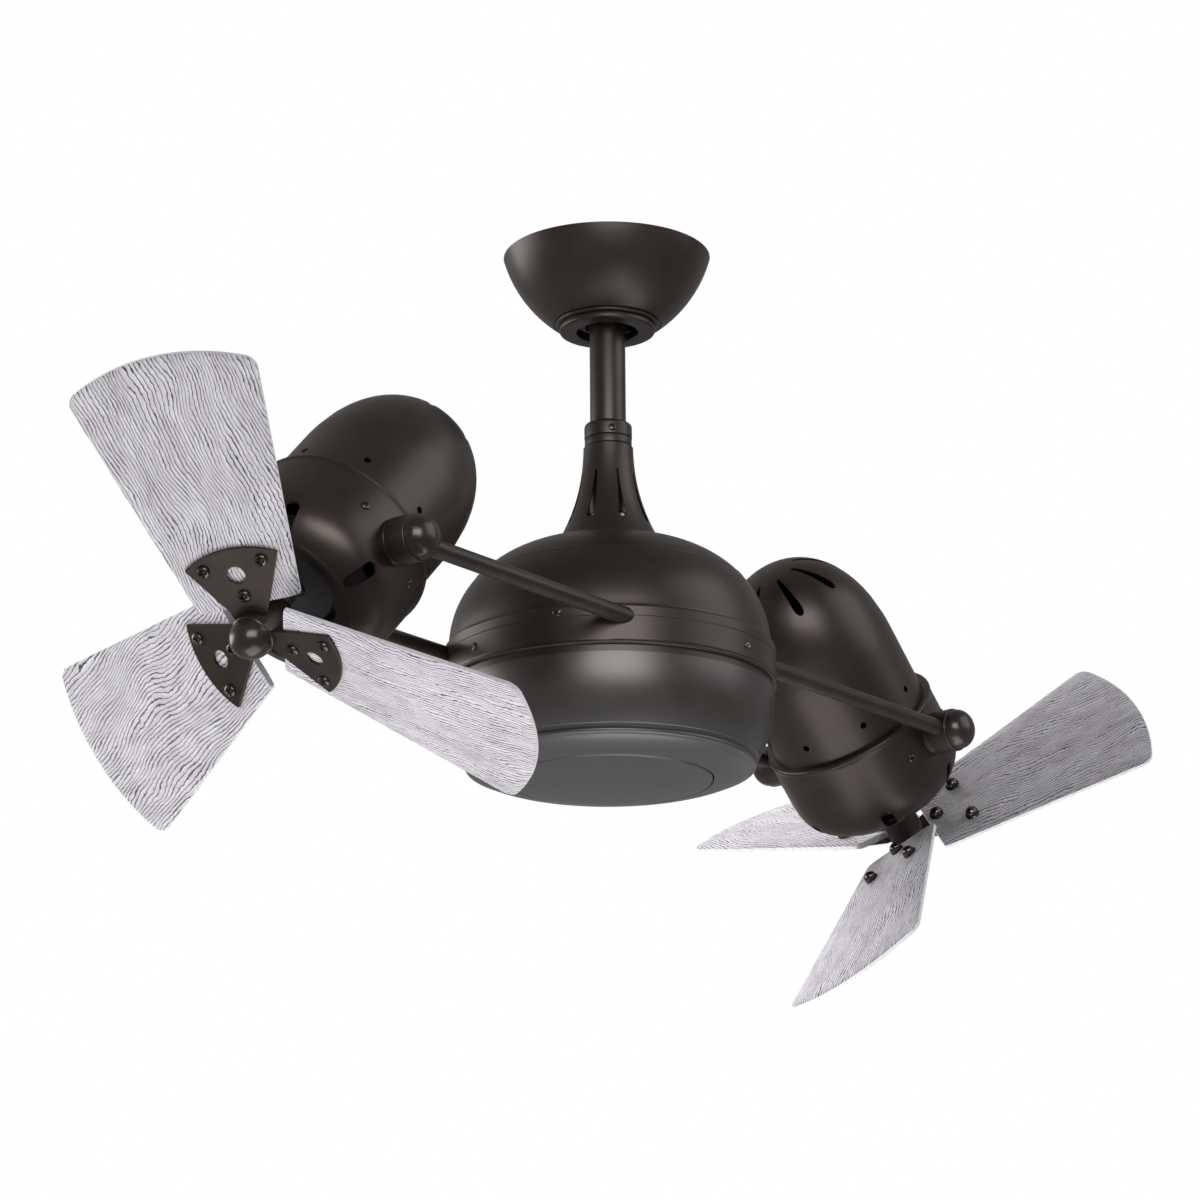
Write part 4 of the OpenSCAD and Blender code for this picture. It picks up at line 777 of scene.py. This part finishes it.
def front_shell(side):
    """Front bowl of a head, with its long slots and trunnion bosses, and its four screws."""
    at, body = head_place(side), side + "_head"
    half = SLOT_W / 2
    s = stations(SKIRT_S, NOSE_S, 30, (SLOT_SPAN[0], SLOT_SPAN[0] + half), SLOT_SPAN,
                 (SLOT_SPAN[1] - half, SLOT_SPAN[1]))
    # the bowl draws in as a power of the way along it
    side_r = FRONT_R - (FRONT_R - NOSE_R) * ((s - SKIRT_S) / (NOSE_S - SKIRT_S)) ** FRONT_POWER
    bowl = np.column_stack([side_r, s])
    roll = oval((FRONT_R - 2, 2.6 - SEAM_S), (2.8, 2.6), -90, 30, 10)
    lead = np.column_stack([np.full(9, FRONT_R), np.linspace(5.4 - SEAM_S, SKIRT_S - 2.0, 9)])
    nose = np.array([(NOSE_R - 0.6, NOSE_S + 0.7), (NOSE_R - 1.6, NOSE_S + 1.0),
                     (NOSE_R - 2.8, NOSE_S + 0.7), (NOSE_R - 4, NOSE_S - 2.4),
                     (NOSE_HOLE_R + 0.4, NOSE_S - 2.5), (NOSE_HOLE_R, NOSE_S - 3.0)])
    outer = np.concatenate([[(REAR_R + 0.3, -SEAM_S)], roll, lead, bowl, nose])
    inner = outer.copy()
    inner[:, 0] = np.where(outer[:, 1] < NOSE_S - 4, outer[:, 0] - HEAD_T, NOSE_R - HEAD_T - 0.8)
    inner[0] = (REAR_R + 0.3, HEAD_T - SEAM_S)
    rolled, first, last = slice(1, 1 + len(roll)), 1 + len(roll) + len(lead), len(outer) - len(nose)
    inner[rolled, 1] = np.maximum(inner[rolled, 1], HEAD_T - SEAM_S)
    inner[1:6, 0] = np.linspace(REAR_R + 0.6, FRONT_R - HEAD_T - 0.1, 5)
    inner[last:, 0] = np.linspace(NOSE_R - HEAD_T - 1, NOSE_HOLE_R, len(nose))
    inner[last:, 1] = NOSE_S - 4
    number = np.arange(len(outer))
    on_bowl = (number >= first) & (number < last)
    width = np.where(on_bowl, slit(outer[:, 1], SLOT_SPAN, (half, half)), 0)
    marks = np.radians(SLOT_A + np.arange(BOWL_SLOTS) * 360 / BOWL_SLOTS)
    shape = Shape()
    pierced(shape, outer, inner, *round_cuts(marks, width, outer, inner), 20, at)
    bore = TRUNNION_R + FIT
    for y in (-1, 1):
        turned(shape, outline((bore, BOSS_IN), (BOSS_R, BOSS_IN), (BOSS_R, BOSS_OUT, 0.8),
                              (bore, BOSS_OUT)), at @ turn("X", -90 * y), 72)
    piece(side + "_front_shell", shape, body, [side + "_front_bowl"], BRONZE)

    shape = Shape()
    for angle in (90 - BOWL_SCREW_A, 90 + BOWL_SCREW_A, 270 - BOWL_SCREW_A, 270 + BOWL_SCREW_A):
        screw_head(shape, at @ radial_place(angle, FRONT_R - 0.05, 0), *SHELL_SCREW)
    piece(side + "_shell_screws", shape, body, [side + "_bowl_screws"],
          SCREW_BRONZE)


def blade_edge():
    """Half of a blade's outline from its root to the middle of its tip: (x, y), y falling to 0.
    A rounded root corner, a straight side at a slope, and a tip arc that meets it in a corner whose
    centre lies where the side and the arc, both moved in by the corner's radius, cross."""
    slope = math.atan2(TIP_HALF_W - ROOT_HALF_W, TIP_R - TIP_SHOULDER - ROOT_RHO)
    cx, moved, f = TIP_R - TIP_ARC_R, TIP_ARC_R - TIP_CORNER_R, ROOT_CORNER_R
    side_d = ROOT_HALF_W * math.cos(slope) - ROOT_RHO * math.sin(slope) - TIP_CORNER_R
    b = slope + math.asin((side_d + cx * math.sin(slope)) / moved)
    corner = (cx + moved * math.cos(b), moved * math.sin(b))
    root = oval((ROOT_RHO + f, ROOT_HALF_W - f), (f, f), 180, 90 + math.degrees(slope), 5)
    turn_in = oval(corner, (TIP_CORNER_R,) * 2, 90 + math.degrees(slope), math.degrees(b), 14)
    tip = oval((cx, 0), (TIP_ARC_R,) * 2, math.degrees(b), 0, 12)[1:]
    side = root[-1] + (turn_in[0] - root[-1]) * np.linspace(0, 1, 50)[1:-1, None]
    return np.concatenate([root, side, turn_in, tip])


def blades(side):
    """Three blades, each a plate between its two long edges, that thins to its rim: its half
    thickness falls as a power of the way across, and as a cube over the last of the tip. Rows run
    from root to tip; at each row the columns cross from edge to edge."""
    edge = blade_edge()
    tip = edge[edge[:, 0] > TIP_R - TIP_ZONE][::-1]
    rows, across = edge[:-1], np.sin(np.radians(np.linspace(-90, 90, 41)))
    y = rows[:, 1:] * across
    curve = np.interp(np.abs(y), tip[:, 1], tip[:, 0])
    x = np.minimum(rows[:, :1] + 0 * y, curve)
    fall = np.maximum(np.abs(across) ** THIN_POWER, np.clip(1 - (curve - x) / THIN_TIP, 0, 1) ** 3)
    half = BLADE_T / 2 - THIN_BY * fall
    faces = np.stack([x, y, half], -1), np.stack([x, y, -half], -1)
    for i in range(BLADES):
        # each blade's flat coordinates lie apart, so that no two show the same wood
        along = x + WOOD_APART * i + BLADES * WOOD_APART * (side == "right")
        flat = np.stack([along, y + WOOD_ACROSS * i], -1)
        shape = Shape()
        sheet_between(shape, faces, False, blade_place(side, i), flat)
        piece(f"{side}_vane_{i + 1}", shape, side + "_rotor", [f"{side}_blade_{i + 1}"],
              WOOD, bevel=1.1, uv="blade")


def bracket_edge(angles):
    """Distance from the bracket's hole to its rim at each angle round the hole: the nearest of its
    outer arc, its two straight sides and its root, where the hub is."""
    c, s = np.cos(angles), np.sin(angles)
    h, a = BRACKET_HOLE_AT, math.radians(BRACKET_A)
    arc = -h * c + np.sqrt((h * c) ** 2 + BRACKET_R ** 2 - h ** 2)
    reach = (h - BRACKET_APEX) * math.sin(a)
    sides = [reach / np.maximum(sign * s * math.cos(a) - c * math.sin(a), 1e-9)
             for sign in (-1, 1)]
    root = (h - BRACKET_ROOT) / np.maximum(-c, 1e-9)
    return np.minimum.reduce([arc, *sides, root])


def rotor(side):
    """Hub, its round cap, three brackets, and the screws and crowned nuts that hold the blades."""
    at, body = head_place(side), side + "_rotor"
    shape = Shape()
    turned(shape, outline((HUB_BORE_R, HUB_FOOT), (HUB_R, HUB_FOOT, 1.4), (HUB_R, HUB_TOP, 0.2),
                          (HUB_BORE_R, HUB_TOP)), at, 72)
    piece(side + "_hub_barrel", shape, body, [side + "_blade_hub"], BRONZE)
    shape = Shape()
    dome = oval((0, CAP_S - 1.5), (CAP_R - 0.5, CAP_R + 1.5), 0, 90, 30)
    bore_end = HUB_TOP + CAP_BORE_H
    foot = [(0, bore_end), (CAP_BORE_R, bore_end), (CAP_BORE_R, HUB_TOP), (CAP_R - 0.6, HUB_TOP),
            (CAP_R, HUB_TOP + 0.6), (CAP_R, CAP_S - 2.1)]
    turned(shape, np.concatenate([foot, dome]), at, 96, closed=False)
    piece(side + "_hub_ball", shape, body, [side + "_hub_cap"], CAP_BRONZE)
    plates, screws, nuts = Shape(), Shape(), Shape()
    angles = np.linspace(0, 2 * np.pi, 144, endpoint=False)
    reach = bracket_edge(angles)
    t = np.linspace(0, 1, 14)[:, None]
    ray = BRACKET_HOLE_R + (reach - BRACKET_HOLE_R) * t
    x, y = BRACKET_HOLE_AT + ray * np.cos(angles), ray * np.sin(angles)
    for i in range(BLADES):
        on = blade_place(side, i)
        low = np.stack([x, y, np.full_like(x, BLADE_T / 2)], -1)
        sheet_between(plates, (low + (0, 0, BRACKET_T), low), True, on)
        for px, py in BLADE_SCREWS:
            screw_head(screws, on @ shift(px, py, BLADE_T / 2 + BRACKET_T), *VANE_SCREW)
            acorn_nut(nuts, on @ shift(px, py, -BLADE_T / 2) @ turn("X", 180), NUT_R)
    piece(side + "_bracket_plates", plates, body, [side + "_blade_brackets"], BRONZE,
          bevel=0.5)
    piece(side + "_vane_screws", screws, body, [side + "_blade_screws"],
          SCREW_BRONZE)
    piece(side + "_crowned_nuts", nuts, body, [side + "_blade_nuts"], NUT_BLACK)


def finish_cad_nodes():
    """Gives the pieces that keep their CAD shape the finish of their material slot."""
    finishes = {"bronze": BRONZE, "bowl_bronze": BOWL_BRONZE_PAINTED_REFLECTION, "cap_bronze": CAP_BRONZE,
                "screw_bronze": SCREW_BRONZE, "nut_black": NUT_BLACK, "barnwood": WOOD,
                "zinc": ZINC_PAINTED_SHADE, "steel": STEEL, "cast_alloy": CAST_PAINTED_SHADE, "brass": BRASS,
                "black_plastic": PLASTIC}
    for part in frame["record"]["subparts"]:
        slots = frame["nodes"][part["node"]].data.materials
        slots.clear()
        slots.append(finishes[part["material_slot"]])


# ---- Setting ---------------------------------------------------------------------------------

FLOOR_Z, FLOOR_R, FLOOR_T = -8.0, 60.0, 0.5   # metres, far enough below to stay out of the light
ROOM_LEVEL = 0.30                 # what the white room gives as light; it is seen at 1
LENS, SENSOR, ROLL = 137.24, 36, -0.429
CAMERA_AT, CAMERA_ALONG = (-2.5427, -1.9792, -1.2338), (0.7546, 0.5900, 0.2872)


def lamp(name, place, aim, wide, high, power, gloss=True, spread=True):
    """A soft lamp in metres, turned from its place to the point it lights. Without gloss it isn't
    mirrored in a finish, and without spread it is seen there alone."""
    data = bpy.data.lights.new(name, "AREA")
    data.shape, data.size, data.size_y, data.energy = "RECTANGLE", wide, high, power
    made = bpy.data.objects.new(name, data)
    made.visible_glossy, made.visible_diffuse = gloss, spread
    made.location = place
    made.rotation_euler = (Vector(aim) - Vector(place)).to_track_quat("-Z", "Y").to_euler()
    bpy.context.scene.collection.objects.link(made)


def setting():
    """Pale floor, white room, soft lamps and the camera."""
    scene = bpy.context.scene
    shape = Shape()
    turned(shape, [(0, 0), (1, 0), (FLOOR_R, 0), (FLOOR_R, -FLOOR_T), (0, -FLOOR_T)], None, 96,
           closed=False)
    points = np.concatenate(shape.points) + (0, 0, FLOOR_Z)
    mesh = bpy.data.meshes.new("floor")
    mesh.from_pydata(points.tolist(), [], np.concatenate(shape.faces).tolist())
    mesh.validate()
    p = Paint("pale_floor", **{"Roughness": 0.9, "Emission Strength": 1.0})
    seen = p.node("ShaderNodeLightPath", None, None, "Is Camera Ray")
    cloud = p.noise(p.place(), 0.4, 3)
    p.finish(Base_Color=p.blend(cloud, (0.86, 0.86, 0.86), (0.9, 0.9, 0.9)),
             Emission_Color=p.blend(seen, (0, 0, 0), (0.62, 0.62, 0.62)))
    mesh.materials.append(p.material)
    floor = bpy.data.objects.new("floor", mesh)
    scene.collection.objects.link(floor)

    world = bpy.data.worlds.new("white_room")
    world.use_nodes = True
    tree = world.node_tree
    back = tree.nodes["Background"]
    path = tree.nodes.new("ShaderNodeLightPath")
    level = tree.nodes.new("ShaderNodeMapRange")
    level.inputs["To Min"].default_value, level.inputs["To Max"].default_value = ROOM_LEVEL, 1.0
    tree.links.new(path.outputs["Is Camera Ray"], level.inputs["Value"])
    tree.links.new(level.outputs["Result"], back.inputs["Strength"])
    back.inputs["Color"].default_value = (1, 1, 1, 1)
    scene.world = world

    middle = (0, 0, -0.35)
    lamp("front", (-1.95, -1.85, 0.1), middle, 2.1, 1.2, 80, spread=False)
    lamp("below", (0.1, -0.5, -2.9), middle, 2.6, 2.6, 84, spread=False)
    lamp("left", (-0.9, 2.1, 0.0), middle, 1.7, 0.8, 24)
    lamp("right", (1.2, -2.5, 1.1), middle, 2.4, 2.4, 42)
    lamp("under", (-0.45, 0.2, -2.95), middle, 2.4, 2.4, 68, gloss=False)
    lamp("back", (1.15, 2.0, 1.6), middle, 2.4, 2.4, 190, gloss=False)
    lamp("side", (-2.8, 1.0, -0.35), middle, 1.6, 1.6, 21, gloss=False)

    data = bpy.data.cameras.new("photo_camera")
    data.lens, data.sensor_width = LENS, SENSOR
    camera = bpy.data.objects.new("photo_camera", data)
    look = Vector(CAMERA_ALONG).to_track_quat("-Z", "Y").to_matrix().to_4x4()
    camera.matrix_world = (Matrix.Translation(CAMERA_AT) @ look
                           @ Matrix.Rotation(math.radians(ROLL), 4, "Z"))
    scene.collection.objects.link(camera)
    scene.camera = camera
    scene.view_settings.view_transform = "Standard"


canopy()
hanger()
upper_housing()
lower_housing()
lower_bowl()
rods_and_knuckles()
for which in SIDES:
    rear_shell(which)
    front_shell(which)
    blades(which)
    rotor(which)
finish_cad_nodes()
setting()
